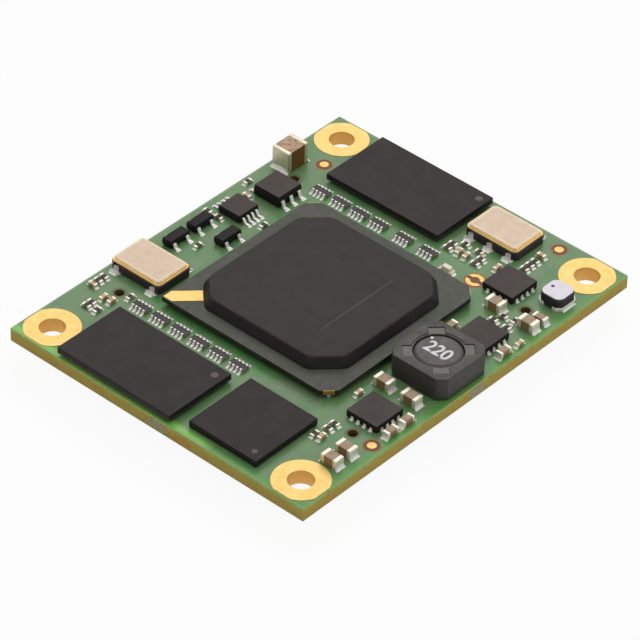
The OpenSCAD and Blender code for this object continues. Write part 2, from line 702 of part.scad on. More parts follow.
module oscillator_lid(at) color([0.87, 0.8, 0.71])
    on_top(at) translate([0, 0, seal_ring_top]) linear_extrude(lid_t) lid_outline(seal_wall_inset + lid_step);

// A terminal lies under the base and climbs part of the half-round notch in its side.
module oscillator_terminals(at, count) color([0.86, 0.85, 0.82]) on_top(at)
    for (side = [0, 1], y = terminal_y(count)) mirror([side, 0, 0]) translate([oscillator_w / 2, y, 0]) {
        translate([(oscillator_terminal_out - oscillator_terminal_w) / 2, 0, 0]) block(
            oscillator_terminal_w + oscillator_terminal_out, oscillator_terminal_w, oscillator_terminal_t);
        intersection() {
            cylinder(r = castellation_r, h = castellation_h);
            translate([-castellation_r, -castellation_r, 0])
                cube([castellation_r, 2 * castellation_r, castellation_h]);
        }
    }

module oscillator_left_base() oscillator_base(oscillator_left_spot, 4);
module oscillator_left_ring() oscillator_ring(oscillator_left_spot);
module oscillator_left_lid() oscillator_lid(oscillator_left_spot);
module oscillator_left_terminals() oscillator_terminals(oscillator_left_spot, 4);
module oscillator_right_base() oscillator_base(oscillator_right_spot, 6);
module oscillator_right_ring() oscillator_ring(oscillator_right_spot);
module oscillator_right_lid() oscillator_lid(oscillator_right_spot);
module oscillator_right_terminals() oscillator_terminals(oscillator_right_spot, 6);

// The opening in the shield: a round bore with a pocket towards each corner.
module shield_opening() {
    circle(d = shield_bore);
    for (turn = [45, 135]) rotate(turn) square([2 * pocket_reach, pocket_w], center = true);
}

module inductor_shield() color([0.33, 0.31, 0.31])
    on_top(power_inductor_at) translate([0, 0, inductor_terminal_t]) difference() {
        linear_extrude(shield_h) cut_rect(shield_side, shield_side, shield_corner);
        translate([0, 0, drum_flange_t]) linear_extrude(shield_h) shield_opening();
        translate([0, 0, -cut_over]) cylinder(d = drum_d + 2 * winding_gap, h = shield_h);
    }

module inductor_drum_core() color([0.36, 0.34, 0.34])
    on_top(power_inductor_at) rotate_extrude() polygon([
        [0, inductor_terminal_t], [drum_d / 2, inductor_terminal_t],
        [drum_d / 2, winding_foot], [drum_post_d / 2, winding_foot],
        [drum_post_d / 2, drum_top - drum_flange_t], [drum_d / 2, drum_top - drum_flange_t],
        [drum_d / 2, drum_top - drum_chamfer], [drum_d / 2 - drum_chamfer, drum_top], [0, drum_top]
    ]);

module inductor_winding() color([0.7, 0.42, 0.25])
    on_top(power_inductor_at) translate([0, 0, winding_foot]) difference() {
        cylinder(d = drum_d, h = drum_top - drum_flange_t - winding_foot);
        translate([0, 0, -cut_over]) cylinder(d = drum_post_d + 2 * winding_gap, h = shield_h);
    }

// Epoxy fills the opening round the drum core's upper flange.
module inductor_epoxy() color([0.4, 0.38, 0.28])
    on_top(power_inductor_at) translate([0, 0, shield_top - epoxy_sink - epoxy_h]) linear_extrude(epoxy_h)
        difference() {
            shield_opening();
            circle(d = drum_d + 2 * winding_gap);
        }

// The terminals lie flat under the shield, flush with two of its sides.
module inductor_terminals() color([0.85, 0.84, 0.82]) on_top(power_inductor_at)
    for (side = [-1, 1]) translate([side * (shield_side - inductor_terminal_l) / 2, 0, 0])
        block(inductor_terminal_l, inductor_terminal_w, inductor_terminal_t);

module small_inductor_body() color([0.14, 0.13, 0.13])
    on_top(small_inductor_spot) translate([0, 0, inductor_terminal_t]) linear_extrude(small_inductor_h)
        cut_rect(small_inductor_side, small_inductor_side, small_inductor_corner);

module small_inductor_coat() {
    side = small_inductor_side - 2 * small_coat_step;
    color([0.9, 0.88, 0.92])
        on_top(small_inductor_spot) translate([0, 0, inductor_terminal_t + small_inductor_h])
            linear_extrude(small_coat_t) cut_rect(side, side, coat_inset);
}

// A terminal is a tray that covers one end of the body's foot and wraps up its sides.
module small_inductor_terminals() color([0.88, 0.87, 0.85]) on_top(small_inductor_spot)
    for (side = [0, 1]) mirror([0, side, 0]) intersection() {
        difference() {
            linear_extrude(inductor_terminal_t + small_terminal_h) cut_rect(
                small_inductor_side + 2 * inductor_terminal_t, small_inductor_side + 2 * inductor_terminal_t,
                small_inductor_corner);
            translate([0, 0, inductor_terminal_t]) linear_extrude(small_inductor_h)
                cut_rect(small_inductor_side, small_inductor_side, small_inductor_corner);
        }
        translate([-small_inductor_side, small_inductor_side / 2 - small_terminal_l, 0])
            cube([2 * small_inductor_side, small_inductor_side, small_inductor_h]);
    }

module regulator_body(at) color([0.27, 0.25, 0.25])
    on_top(at) block(regulator_side, regulator_side, regulator_t, regulator_pad_t);

module regulator_front_body() regulator_body(regulator_front_spot);
module regulator_middle_body() regulator_body(regulator_middle_at);
module regulator_right_body() regulator_body(regulator_right_at);

module regulator_pads() color([0.86, 0.85, 0.82])
    for (at = [regulator_front_spot, regulator_middle_at, regulator_right_at]) on_top(at) {
        block(thermal_pad, thermal_pad, regulator_pad_t);
        for (turn = [0:90:270], i = [0:regulator_pad_count - 1]) rotate(turn)
            translate([(i - (regulator_pad_count - 1) / 2) * regulator_pad_pitch,
                       regulator_side / 2 + regulator_pad_out - regulator_pad_l / 2, 0])
                block(regulator_pad_w, regulator_pad_l, regulator_pad_t);
    }

// Leads leave the leaded bodies half way up.
function exit_z(high) = (lead_standoff + high) / 2;

module transistor_body(at) color([0.22, 0.21, 0.21])
    on_top(at) moulded_body(transistor_l, transistor_w, transistor_h, exit_z(transistor_h));

module transistor_left_body() transistor_body(transistor_spots[0]);
module transistor_middle_body() transistor_body(transistor_spots[1]);
module transistor_inner_body() transistor_body(transistor_spots[2]);

module transistor_leads() {
    reach = (transistor_span - transistor_w) / 2;
    exit = exit_z(transistor_h);
    color([0.87, 0.86, 0.84]) for (at = transistor_spots, count = [1, 2]) on_top(at) rotate(180 * (count - 1))
        lead_row(count, transistor_pitch, transistor_lead_w, transistor_w / 2, reach, exit);
}

module monitor_body() color([0.24, 0.23, 0.23])
    on_top(monitor_at) moulded_body(monitor_side, monitor_side, monitor_h, exit_z(monitor_h));

module monitor_leads() {
    reach = (monitor_span - monitor_side) / 2;
    exit = exit_z(monitor_h);
    color([0.87, 0.86, 0.84]) on_top(monitor_at) for (turn = [0, 180]) rotate(turn)
        lead_row(monitor_lead_count, monitor_pitch, monitor_lead_w, monitor_side / 2, reach, exit);
}

module driver_body() color([0.24, 0.23, 0.23])
    on_top(driver_spot) moulded_body(driver_side, driver_side, driver_h, exit_z(driver_h));

module driver_leads() {
    reach = (driver_span - driver_side) / 2;
    exit = exit_z(driver_h);
    color([0.87, 0.86, 0.84]) on_top(driver_spot) for (turn = [0, 180]) rotate(turn)
        lead_row(driver_lead_count, driver_pitch, driver_lead_w, driver_side / 2, reach, exit);
}

module bulk_capacitor_body() color([0.62, 0.54, 0.44])
    on_top([0, 0]) chip_bodies([[bulk_spot[0], bulk_spot[1], 0]], bulk_size, bulk_end);

module bulk_capacitor_ends() color([0.82, 0.8, 0.78])
    on_top([0, 0]) chip_ends([[bulk_spot[0], bulk_spot[1], 0]], bulk_size, bulk_end);

// Centres of all the resistor arrays.
array_spots = concat(
    [for (y = array_left_y) [array_left_x, y]], [for (y = array_right_y) [array_right_x, y]]
);

module array_bodies() color([0.32, 0.27, 0.26])
    for (at = array_spots) on_top(at) block(array_w, array_l, array_t, array_terminal_t);

// Section of an array terminal, which wraps the ceramic's edge from its foot to its top.
function wrap_outline() = let (t = array_terminal_t, high = array_t + 2 * array_terminal_t)
    [[-array_wrap, 0], [t, 0], [t, high], [-array_wrap, high], [-array_wrap, high - t], [0, high - t],
     [0, t], [-array_wrap, t]];

module array_terminals() color([0.86, 0.85, 0.83])
    for (at = array_spots, turn = [0, 180], i = [0:array_count - 1]) on_top(at) rotate(turn)
        translate([array_w / 2, (i - (array_count - 1) / 2) * array_pitch, 0])
            rotate([90, 0, 0]) linear_extrude(array_terminal_w, center = true) polygon(wrap_outline());

module ceramic_capacitors() color([0.6, 0.52, 0.44]) on_top([0, 0]) {
    chip_bodies(large_spots, large_size, large_end);
    chip_bodies(medium_spots, medium_size, medium_end);
}

module ceramic_capacitor_ends() color([0.84, 0.82, 0.8]) on_top([0, 0]) {
    chip_ends(large_spots, large_size, large_end);
    chip_ends(medium_spots, medium_size, medium_end);
}

module small_capacitors() color([0.78, 0.64, 0.54])
    on_top([0, 0]) chip_bodies(small_spots, small_size, small_end);

module small_capacitor_ends() color([0.86, 0.84, 0.82])
    on_top([0, 0]) chip_ends(small_spots, small_size, small_end);

module chip_resistors() color([0.22, 0.2, 0.2])
    on_top([0, 0]) chip_bodies(resistor_spots, resistor_size, small_end);

module chip_resistor_ends() color([0.86, 0.85, 0.84])
    on_top([0, 0]) chip_ends(resistor_spots, resistor_size, small_end);

// The indicator's base carries metal ends, which are part of its plated laminate.
module indicator_base() color([0.92, 0.9, 0.84])
    on_top(indicator_at) rotate(90) block(indicator_size[0], indicator_size[1], indicator_size[2]);

module indicator_lens() color([0.9, 0.76, 0.62]) on_top(indicator_at) rotate(90)
    translate([0, 0, indicator_size[2]]) rotate([90, 0, 90]) linear_extrude(indicator_lens_l, center = true)
        polygon([[-indicator_size[1] / 2, 0], [indicator_size[1] / 2, 0],
                 [indicator_size[1] / 2 - indicator_lens_lean, indicator_lens_h],
                 [indicator_lens_lean - indicator_size[1] / 2, indicator_lens_h]]);

// Outline of a housing, with its two polarising corners cut at one end.
module housing_outline() polygon([
    [-housing_l / 2, -connector_w / 2], [housing_l / 2 - housing_cut, -connector_w / 2],
    [housing_l / 2, housing_cut - connector_w / 2], [housing_l / 2, connector_w / 2 - housing_cut],
    [housing_l / 2 - housing_cut, connector_w / 2], [-housing_l / 2, connector_w / 2]
]);

// A receptacle: a long mating slot that opens downwards, guide pins and end feet against the board.
module connector_housing() color([0.13, 0.13, 0.13]) {
    difference() {
        linear_extrude(housing_top) housing_outline();
        translate([0, 0, -cut_over]) block(slot_l, slot_w, slot_depth + cut_over);
        for (side = [-1, 1]) translate([0, side * (slot_w - contact_t) / 2, 0])
            block(contact_span + contact_w, contact_t, board_bottom);
    }
    for (side = [-1, 1]) {
        translate([side * guide_span / 2, 0, housing_top]) cylinder(d = guide_d, h = contact_t + guide_depth);
        translate([side * (housing_l - foot_l) / 2, 0, housing_top])
            block(foot_l, connector_w - 2 * housing_cut, contact_t);
    }
}

// Section of a contact: up the slot's wall from its tip, then out along the board as a tail.
function contact_outline() = let (wall = slot_w / 2, out = connector_w / 2 + contact_tail)
    [[wall - contact_t, contact_tip], [wall, contact_tip], [wall, housing_top], [out, housing_top],
     [out, board_bottom], [wall - contact_t, board_bottom]];

module connector_contacts() color([0.88, 0.74, 0.4])
    for (turn = [0, 180], i = [0:contact_count - 1]) rotate(turn)
        translate([(i - (contact_count - 1) / 2) * contact_pitch, 0, 0])
            rotate([90, 0, 90]) linear_extrude(contact_w, center = true) polygon(contact_outline());

module connector_front_housing() translate([0, -connector_y, 0]) connector_housing();
module connector_back_housing() translate([0, connector_y, 0]) rotate(180) connector_housing();
module connector_front_contacts() translate([0, -connector_y, 0]) connector_contacts();
module connector_back_contacts() translate([0, connector_y, 0]) connector_contacts();

decoupling_spots = [
    for (i = [0:decoupling_columns - 1], j = [0:decoupling_rows - 1])
        [(i - (decoupling_columns - 1) / 2) * decoupling_pitch[0],
         (j - (decoupling_rows - 1) / 2) * decoupling_pitch[1], 90 * (i % 2)]
];

// Turns children over so that they hang from the board's underside.
module under_board() translate([0, 0, board_bottom]) mirror([0, 0, 1]) children();

module decoupling_capacitors() color([0.74, 0.6, 0.48])
    under_board() chip_bodies(decoupling_spots, small_size, small_end);

module decoupling_capacitor_ends() color([0.86, 0.84, 0.82])
    under_board() chip_ends(decoupling_spots, small_size, small_end);

circuit_board();
mounting_lands();
gold_marks();
processor_substrate();
processor_cap();
processor_corner_marks();
processor_balls();
memory_left_body();
memory_left_base();
memory_right_body();
memory_right_base();
memory_balls();
transceiver_body();
transceiver_pads();
oscillator_left_base();
oscillator_left_ring();
oscillator_left_lid();
oscillator_left_terminals();
oscillator_right_base();
oscillator_right_ring();
oscillator_right_lid();
oscillator_right_terminals();
inductor_shield();
inductor_drum_core();
inductor_winding();
inductor_epoxy();
inductor_terminals();
small_inductor_body();
small_inductor_coat();
small_inductor_terminals();
regulator_front_body();
regulator_middle_body();
regulator_right_body();
regulator_pads();
transistor_left_body();
transistor_middle_body();
transistor_inner_body();
transistor_leads();
monitor_body();
monitor_leads();
driver_body();
driver_leads();
bulk_capacitor_body();
bulk_capacitor_ends();
array_bodies();
array_terminals();
ceramic_capacitors();
ceramic_capacitor_ends();
small_capacitors();
small_capacitor_ends();
chip_resistors();
chip_resistor_ends();
indicator_base();
indicator_lens();
connector_front_housing();
connector_back_housing();
connector_front_contacts();
connector_back_contacts();
decoupling_capacitors();
decoupling_capacitor_ends();
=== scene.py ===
"""Looks of a system on module: softened edges, solder, traces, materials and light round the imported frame."""

import math
import random

import bmesh
import bpy
from mathutils import Matrix, Vector


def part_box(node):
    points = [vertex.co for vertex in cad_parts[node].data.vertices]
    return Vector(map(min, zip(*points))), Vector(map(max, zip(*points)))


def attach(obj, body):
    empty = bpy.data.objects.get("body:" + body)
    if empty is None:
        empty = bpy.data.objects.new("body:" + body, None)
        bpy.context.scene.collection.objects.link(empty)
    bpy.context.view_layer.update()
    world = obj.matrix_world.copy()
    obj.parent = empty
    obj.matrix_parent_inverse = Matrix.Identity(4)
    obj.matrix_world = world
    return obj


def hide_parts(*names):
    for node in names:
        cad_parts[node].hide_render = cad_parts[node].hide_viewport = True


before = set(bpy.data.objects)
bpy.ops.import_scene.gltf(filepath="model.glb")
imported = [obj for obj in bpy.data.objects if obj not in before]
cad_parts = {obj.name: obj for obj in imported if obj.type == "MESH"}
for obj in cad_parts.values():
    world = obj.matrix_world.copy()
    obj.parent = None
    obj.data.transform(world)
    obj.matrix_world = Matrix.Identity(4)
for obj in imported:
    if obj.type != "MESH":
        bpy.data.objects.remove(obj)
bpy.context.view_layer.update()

MM = 0.001
board_low, board_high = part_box("circuit_board")
BOTTOM, TOP = board_low.z, board_high.z
EDGE_X, EDGE_Y = board_high.x, board_high.y
GUIDE_X, GUIDE_Y = 13.3, 16.0  # places of the guide-pin holes, in millimetres
CLOUD = (0.3, 0.7)             # the middle of a noise's range, which is spread from one value to the other
SHARP = math.radians(28)       # edges that turn by more are rounded
WELD = 1e-7                    # points of the CAD mesh that lie closer are one


# Materials

def srgb(red, green, blue):
    """A display colour, each channel from 0 to 255, as linear RGBA."""
    channels = [c / 255 for c in (red, green, blue)]
    return tuple(c / 12.92 if c < 0.04045 else ((c + 0.055) / 1.055) ** 2.4 for c in channels) + (1.0,)


class Shader:
    """One procedural material, built node by node in object coordinates. Sizes are in millimetres."""

    def __init__(self, name, rough, metal=0.0, **sockets):
        self.material = bpy.data.materials.new(name)
        self.material.use_nodes = True
        self.tree = self.material.node_tree
        self.surface = self.tree.nodes["Principled BSDF"]
        self.set("Roughness", rough)
        self.set("Metallic", metal)
        for label, value in sockets.items():
            self.set(label.replace("_", " "), value)
        coordinates = self.tree.nodes.new("ShaderNodeTexCoord")
        self.place = coordinates.outputs["Object"]
        self.facing = coordinates.outputs["Normal"]

    def set(self, label, value):
        self.feed(self.surface.inputs[label], value)

    def feed(self, socket, value):
        if isinstance(value, bpy.types.NodeSocket):
            self.tree.links.new(value, socket)
        else:
            socket.default_value = value

    def node(self, kind, *values, **settings):
        """A node with its first inputs fed in order; None leaves an input as it is."""
        made = self.tree.nodes.new(kind)
        for name, value in settings.items():
            setattr(made, name, value)
        for socket, value in zip(made.inputs, values):
            if value is not None:
                self.feed(socket, value)
        return made

    def stretched(self, sizes):
        """Object coordinates divided by a size along each axis."""
        scale = tuple(1 / (size * MM) for size in sizes)
        return self.node("ShaderNodeVectorMath", self.place, scale, operation="MULTIPLY").outputs[0]

    def noise(self, size, detail=3.0, rough=0.55):
        sizes = size if isinstance(size, tuple) else (size, size, size)
        made = self.node("ShaderNodeTexNoise", self.stretched(sizes))
        for label, value in (("Scale", 1.0), ("Detail", detail), ("Roughness", rough)):
            made.inputs[label].default_value = value
        return made.outputs[0]

    def cells(self, size):
        made = self.node("ShaderNodeTexVoronoi", self.stretched((size, size, size)))
        made.inputs["Scale"].default_value = 1.0
        return made.outputs["Distance"]

    def span(self, value, low, high, to_low=0.0, to_high=1.0):
        return self.node("ShaderNodeMapRange", value, low, high, to_low, to_high).outputs[0]

    def mottle(self, first, second, *noise):
        """Two colours mixed by a cloudy noise."""
        return self.mix(self.span(self.noise(*noise), *CLOUD), first, second)

    def uneven(self, low, high, *noise):
        """A number that wanders between two values with a cloudy noise."""
        return self.span(self.noise(*noise), *CLOUD, low, high)

    def math(self, operation, first, second=None):
        return self.node("ShaderNodeMath", first, second, operation=operation).outputs[0]

    def mix(self, share, first, second):
        made = self.node("ShaderNodeMix", data_type="RGBA")
        for index, value in ((0, share), (6, first), (7, second)):  # the sockets of a colour mix
            self.feed(made.inputs[index], value)
        return made.outputs[2]

    def ramp(self, value, *stops):
        made = self.node("ShaderNodeValToRGB", value)
        elements = made.color_ramp.elements
        while len(elements) < len(stops):
            elements.new(0.5)
        for element, (at, color) in zip(elements, stops):
            element.position = at
            element.color = color
        return made.outputs[0]

    def axes(self, vector):
        return self.node("ShaderNodeSeparateXYZ", vector).outputs

    def waves(self, axis, length):
        """A sine along an axis, with a wave length in millimetres."""
        return self.math("SINE", self.math("MULTIPLY", axis, 2 * math.pi / (length * MM)))

    def level(self):
        """1 on faces that look up or down, and 0 on upright ones."""
        return self.span(self.math("ABSOLUTE", self.axes(self.facing)[2]), 0.45, 0.75)

    def bump(self, height, depth, strength=1.0):
        """Relief of a given depth. A second call adds to the first."""
        made = self.node("ShaderNodeBump")
        made.inputs["Strength"].default_value = strength
        made.inputs["Distance"].default_value = depth * MM
        self.feed(made.inputs["Height"], height)
        before = self.surface.inputs["Normal"].links
        if before:
            self.feed(made.inputs["Normal"], before[0].from_socket)
        self.set("Normal", made.outputs[0])


def solder_mask():
    """Green mask over copper on the faces, and layered laminate on the cut edges, with a painted brighter
    border beside the left memory and painted shade on the walls of the drilled holes.
    """
    s = Shader("solder_mask", 0.3, Specular_IOR_Level=0.3)
    x, y, z = s.axes(s.place)
    across, along = s.math("ABSOLUTE", x), s.math("ABSOLUTE", y)

    def at_sides(start, stop):
        """Rises from 0 to 1 between two distances from the board's sides, in millimetres."""
        return s.math("MAXIMUM", s.span(across, EDGE_X - start * MM, EDGE_X - stop * MM),
                      s.span(along, EDGE_Y - start * MM, EDGE_Y - stop * MM))

    pour = s.span(s.cells(2.6), 0.25, 0.6)
    cloud = s.noise(5.0, 4.0)
    face = s.mix(s.span(cloud, *CLOUD), srgb(86, 132, 82), srgb(106, 146, 96))
    face = s.mix(s.math("MULTIPLY", pour, 0.4), face, srgb(124, 150, 104))
    # No copper is poured where the processor's traces fan out, so the mask is greener there.
    fanout_y = s.math("MULTIPLY", s.span(y, -6.0 * MM, -3.0 * MM), s.span(y, 13.4 * MM, 12.4 * MM))
    fanout = s.math("MULTIPLY", s.span(across, 13.6 * MM, 12.6 * MM), fanout_y)
    face = s.mix(s.math("MULTIPLY", fanout, 0.7), face, srgb(76, 138, 70))
    # The same holds for the borders at the front and the left. Beside the left memory the left border is
    # painted much brighter: painted light that lifts the shadow the memory casts there.
    border = srgb(96, 156, 74)
    left_border_painted_light = s.mix(s.span(y, -7.6 * MM, -6.2 * MM), border, srgb(140, 206, 96))
    face = s.mix(s.span(x, 1.3 * MM - EDGE_X, 0.6 * MM - EDGE_X), face, left_border_painted_light)
    face = s.mix(s.span(y, 1.3 * MM - EDGE_Y, 0.6 * MM - EDGE_Y), face, border)
    face = s.mix(s.math("MULTIPLY", at_sides(0.35, 0.12), 0.45), face, srgb(142, 172, 112))
    height = s.span(z, BOTTOM, TOP)
    fibre = s.noise((1.6, 1.6, 0.07), 3.0)
    band = s.math("ADD", height, s.span(fibre, *CLOUD, -0.09, 0.09))
    cut_and_shade = s.ramp(band, (0.0, srgb(172, 160, 98)), (0.14, srgb(178, 160, 76)), (0.3, srgb(188, 162, 72)),
                 (0.5, srgb(182, 166, 74)), (0.7, srgb(188, 170, 80)), (0.86, srgb(172, 186, 94)),
                 (1.0, srgb(176, 210, 120)))
    blotch = s.noise((1.1, 1.1, 0.5), 4.0, 0.6)
    cut_and_shade = s.mix(s.span(blotch, 0.52, 0.68, 0.0, 0.7), cut_and_shade, srgb(196, 128, 66))
    cut_and_shade = s.mix(s.span(blotch, 0.44, 0.3, 0.0, 0.6), cut_and_shade, srgb(140, 144, 72))
    # Painted shade: the walls of the drilled holes, away from the board's sides, are painted darker brown.
    cut_and_shade = s.mix(at_sides(0.3, 0.1), srgb(104, 80, 32), cut_and_shade)  # darker on the walls of the drilled holes
    level = s.level()
    s.set("Base Color", s.mix(level, cut_and_shade, face))
    s.set("Roughness", s.span(level, 0, 1, 0.75, 0.3))
    s.bump(s.math("ADD", s.math("MULTIPLY", pour, 0.6), cloud), 0.012, 0.35)
    s.bump(s.math("MULTIPLY", fibre, s.math("SUBTRACT", 1.0, level)), 0.03, 0.6)
    return s.material


def raised_mask():
    """The same mask where it runs over a trace or a filled via."""
    s = Shader("mask_over_copper", 0.28)
    s.set("Base Color", s.mottle(srgb(104, 132, 94), srgb(120, 140, 104), 1.2))
    s.bump(s.noise(0.12), 0.004, 0.5)
    return s.material


def gold(name, light, dark, rough, metal, bore_shade=None):
    """Gold plating; the last argument, if given, is a darker tone painted as shade on upright walls, where the
    plating lines a hole.
    """
    s = Shader(name, rough, metal=metal)
    face = s.mottle(dark, light, 0.9, 4.0)
    s.set("Base Color", s.mix(s.level(), bore_shade, face) if bore_shade else face)
    s.set("Roughness", s.uneven(rough - 0.07, rough + 0.1, 0.25, 3.0))
    s.bump(s.noise(0.06), 0.003, 0.4)
    return s.material


def tin():
    """Bright reflowed solder and tinned leads, with a frosted grain."""
    s = Shader("bright_tin", 0.34, metal=0.2)
    frost = s.span(s.noise(0.35, 4.0), 0.35, 0.7)
    s.set("Base Color", s.mix(frost, srgb(232, 228, 218), srgb(252, 250, 246)))
    s.set("Roughness", s.uneven(0.28, 0.48, 0.12, 3.0))
    s.bump(s.noise(0.09, 2.0), 0.008, 0.5)
    return s.material


def fired_tin(name, light, dark, metal):
    """Plated ends of chip parts: matt, a little warm, unevenly tinned."""
    s = Shader(name, 0.42, metal=metal)
    s.set("Base Color", s.mottle(dark, light, 0.4, 5.0, 0.65))
    s.set("Roughness", s.uneven(0.38, 0.56, 0.15, 3.0))
    s.bump(s.noise(0.1, 3.0), 0.012, 0.5)
    return s.material


def moulding(name, light, dark):
    """Moulding compound: matt, finely speckled with filler, a little scuffed, with painted shade that makes its
    upright sides near black.
    """
    s = Shader(name, 0.55, Specular_IOR_Level=0.17)
    speck = s.span(s.cells(0.13), 0.0, 0.22, 1.0, 0.0)
    face = s.mix(s.math("MULTIPLY", speck, 0.2), s.mottle(dark, light, 3.5, 3.0), srgb(88, 82, 80))
    # Painted shade: upright sides take a near-black colour, darker than the tops.
    s.set("Base Color", s.mix(s.level(), srgb(30, 27, 27), face))
    s.set("Roughness", s.uneven(0.53, 0.61, 1.4, 4.0))
    s.bump(s.noise(0.07, 3.0), 0.01, 0.55)
    return s.material


def package_laminate():
    """Grey-green package laminate: satin mask over a fine weave, with painted shade that makes its cut edges
    near black.
    """
    s = Shader("package_laminate", 0.5, Specular_IOR_Level=0.35)
    weave = s.math("MULTIPLY", *(s.waves(axis, 0.42) for axis in s.axes(s.place)[:2]))
    face = s.mottle(srgb(62, 66, 54), srgb(72, 75, 62), 4.0, 4.0)
    # Painted shade: the upright cut edges are painted near black.
    cut_and_shade = s.mix(s.span(s.noise((0.8, 0.8, 0.05)), 0.35, 0.65), srgb(24, 25, 19), srgb(44, 41, 28))
    s.set("Base Color", s.mix(s.level(), cut_and_shade, face))
    s.set("Roughness", s.uneven(0.44, 0.58, 0.8))
    s.bump(weave, 0.004, 0.35)
    return s.material


def fired_ceramic(name, light, dark, rough, grain):
    """A dense fired or plated surface with clouds six times as large as its grain."""
    s = Shader(name, rough)
    s.set("Base Color", s.mottle(dark, light, grain * 6, 4.0))
    s.set("Roughness", s.uneven(rough - 0.08, rough + 0.12, grain * 2))
    s.bump(s.noise(grain, 3.0), 0.008, 0.5)
    return s.material


def capacitor_ceramic(name, top, side, seam):
    """Layered capacitor body: warm on top, with painted shade that makes the sides browner and darker, and
    faint electrode layers.
    """
    s = Shader(name, 0.42)
    level = s.level()
    layers = s.span(s.noise((2.0, 2.0, 0.035), 2.0), 0.4, 0.6)
    # Painted shade: the sides take the darker side colour, with the electrode layers as seams.
    flank_layers_and_shade = s.mix(s.math("MULTIPLY", layers, 0.5), side, seam)
    s.set("Base Color", s.mix(level, flank_layers_and_shade, s.mottle(side, top, 0.5, 4.0)))
    s.set("Roughness", s.uneven(0.36, 0.55, 0.2))
    s.bump(s.noise(0.08, 3.0), 0.006, 0.5)
    return s.material


def resistor_film():
    """Chip resistor: dark glaze on top, pale alumina at the sides and underneath."""
    s = Shader("resistor_film", 0.3, Specular_IOR_Level=0.3)
    up = s.span(s.axes(s.facing)[2], 0.4, 0.7)
    glaze = s.mottle(srgb(30, 24, 24), srgb(58, 42, 42), 0.3, 4.0)
    alumina = s.mottle(srgb(120, 112, 104), srgb(172, 166, 156), 0.2, 4.0)
    s.set("Base Color", s.mix(up, alumina, glaze))
    s.set("Roughness", s.span(up, 0, 1, 0.7, 0.4))
    s.bump(s.noise(0.1), 0.006, 0.5)
    return s.material


def ferrite(name, light, dark):
    """Sintered ferrite: grey and matt with dark pores, and painted shade on its upright faces."""
    s = Shader(name, 0.6, Specular_IOR_Level=0.4)
    base = s.mottle(dark, light, 1.6, 5.0)
    pores = s.span(s.cells(0.22), 0.0, 0.16, 1.0, 0.0)
    base = s.mix(s.math("MULTIPLY", pores, 0.6), base, srgb(30, 27, 27))
    # Painted shade: upright faces are mixed up to 45 percent towards near black.
    s.set("Base Color", s.mix(s.span(s.level(), 0, 1, 0.45, 0.0), base, srgb(24, 22, 20)))
    s.set("Roughness", s.uneven(0.5, 0.72, 0.5, 3.0))
    s.bump(s.noise(0.11, 4.0), 0.016, 0.6)
    return s.material


def lid_metal(name, light, dark):
    """Plated lid: satin, faintly mottled and brushed."""
    s = Shader(name, 0.5, metal=0.25)
    s.set("Base Color", s.mottle(dark, light, 1.1, 5.0, 0.65))
    s.set("Roughness", s.uneven(0.44, 0.58, (0.06, 1.6, 0.2), 3.0))
    s.bump(s.noise((0.05, 1.2, 0.2), 2.0), 0.003, 0.5)
    return s.material


def enamel():
    """Enamelled wire: turns stacked along the winding's axis, with painted shade in the grooves between turns
    and painted highlight on their crests.
    """
    s = Shader("enamelled_wire", 0.3, metal=0.6)
    turns = s.waves(s.axes(s.place)[2], 0.22)
    # Painted shade and highlight: the colour follows the turns, dark in the grooves and light on the crests.
    s.set("Base Color", s.mix(s.span(turns, -1, 1), srgb(110, 52, 26), srgb(190, 112, 66)))
    s.bump(turns, 0.05, 0.9)
    return s.material


def epoxy():
    """Cast epoxy, a little wavy."""
    s = Shader("epoxy", 0.36)
    s.set("Base Color", s.mottle(srgb(70, 66, 54), srgb(92, 88, 72), 0.7, 4.0))
    s.bump(s.noise(0.5, 3.0), 0.05, 0.5)
    return s.material


def printed(name, light, dark, rough):
    """A printed coat or ink, or a pale laminate: thin, even and slightly grainy."""
    s = Shader(name, rough)
    s.set("Base Color", s.mottle(dark, light, 0.8, 4.0))
    s.set("Roughness", s.uneven(rough - 0.08, rough + 0.1, 0.3))
    s.bump(s.noise(0.12, 3.0), 0.006, 0.5)
    return s.material


def lens_resin():
    """Milky cast resin of the indicator lamp."""
    s = Shader("lens_resin", 0.24, IOR=1.5)
    s.set("Base Color", s.mottle(srgb(252, 230, 200), srgb(255, 242, 222), 0.5, 3.0))
    s.bump(s.noise(0.4), 0.01, 0.4)
    return s.material


def housing_plastic():
    """Glass-filled connector plastic: dark, satin, with short fibres near the surface."""
    s = Shader("housing_plastic", 0.45)
    base = s.mottle(srgb(28, 28, 29), srgb(46, 46, 47), 1.5, 4.0)
    fibre = s.span(s.noise((0.5, 0.04, 0.04), 2.0), 0.6, 0.75)
    s.set("Base Color", s.mix(s.math("MULTIPLY", fibre, 0.3), base, srgb(84, 84, 82)))
    s.set("Roughness", s.uneven(0.38, 0.56, 0.3, 3.0))
    s.bump(s.noise(0.06, 3.0), 0.008, 0.5)
    return s.material


def bare_laminate(name, light, dark):
    """Laminate without mask, as round a fiducial or a drilled hole."""
    s = Shader(name, 0.5)
    s.set("Base Color", s.mottle(dark, light, 0.22, 4.0))
    s.bump(s.noise(0.1, 3.0), 0.012, 0.6)
    return s.material


def torn_laminate():
    """Frayed glass and resin where a break-off tab was snapped away."""
    s = Shader("torn_laminate", 0.85)
    fray = s.noise((0.5, 0.5, 0.09), 5.0, 0.7)
    s.set("Base Color", s.ramp(fray, (0.32, srgb(126, 112, 66)), (0.48, srgb(162, 152, 110)),
                               (0.66, srgb(206, 202, 182))))
    s.bump(fray, 0.06, 0.8)
    return s.material


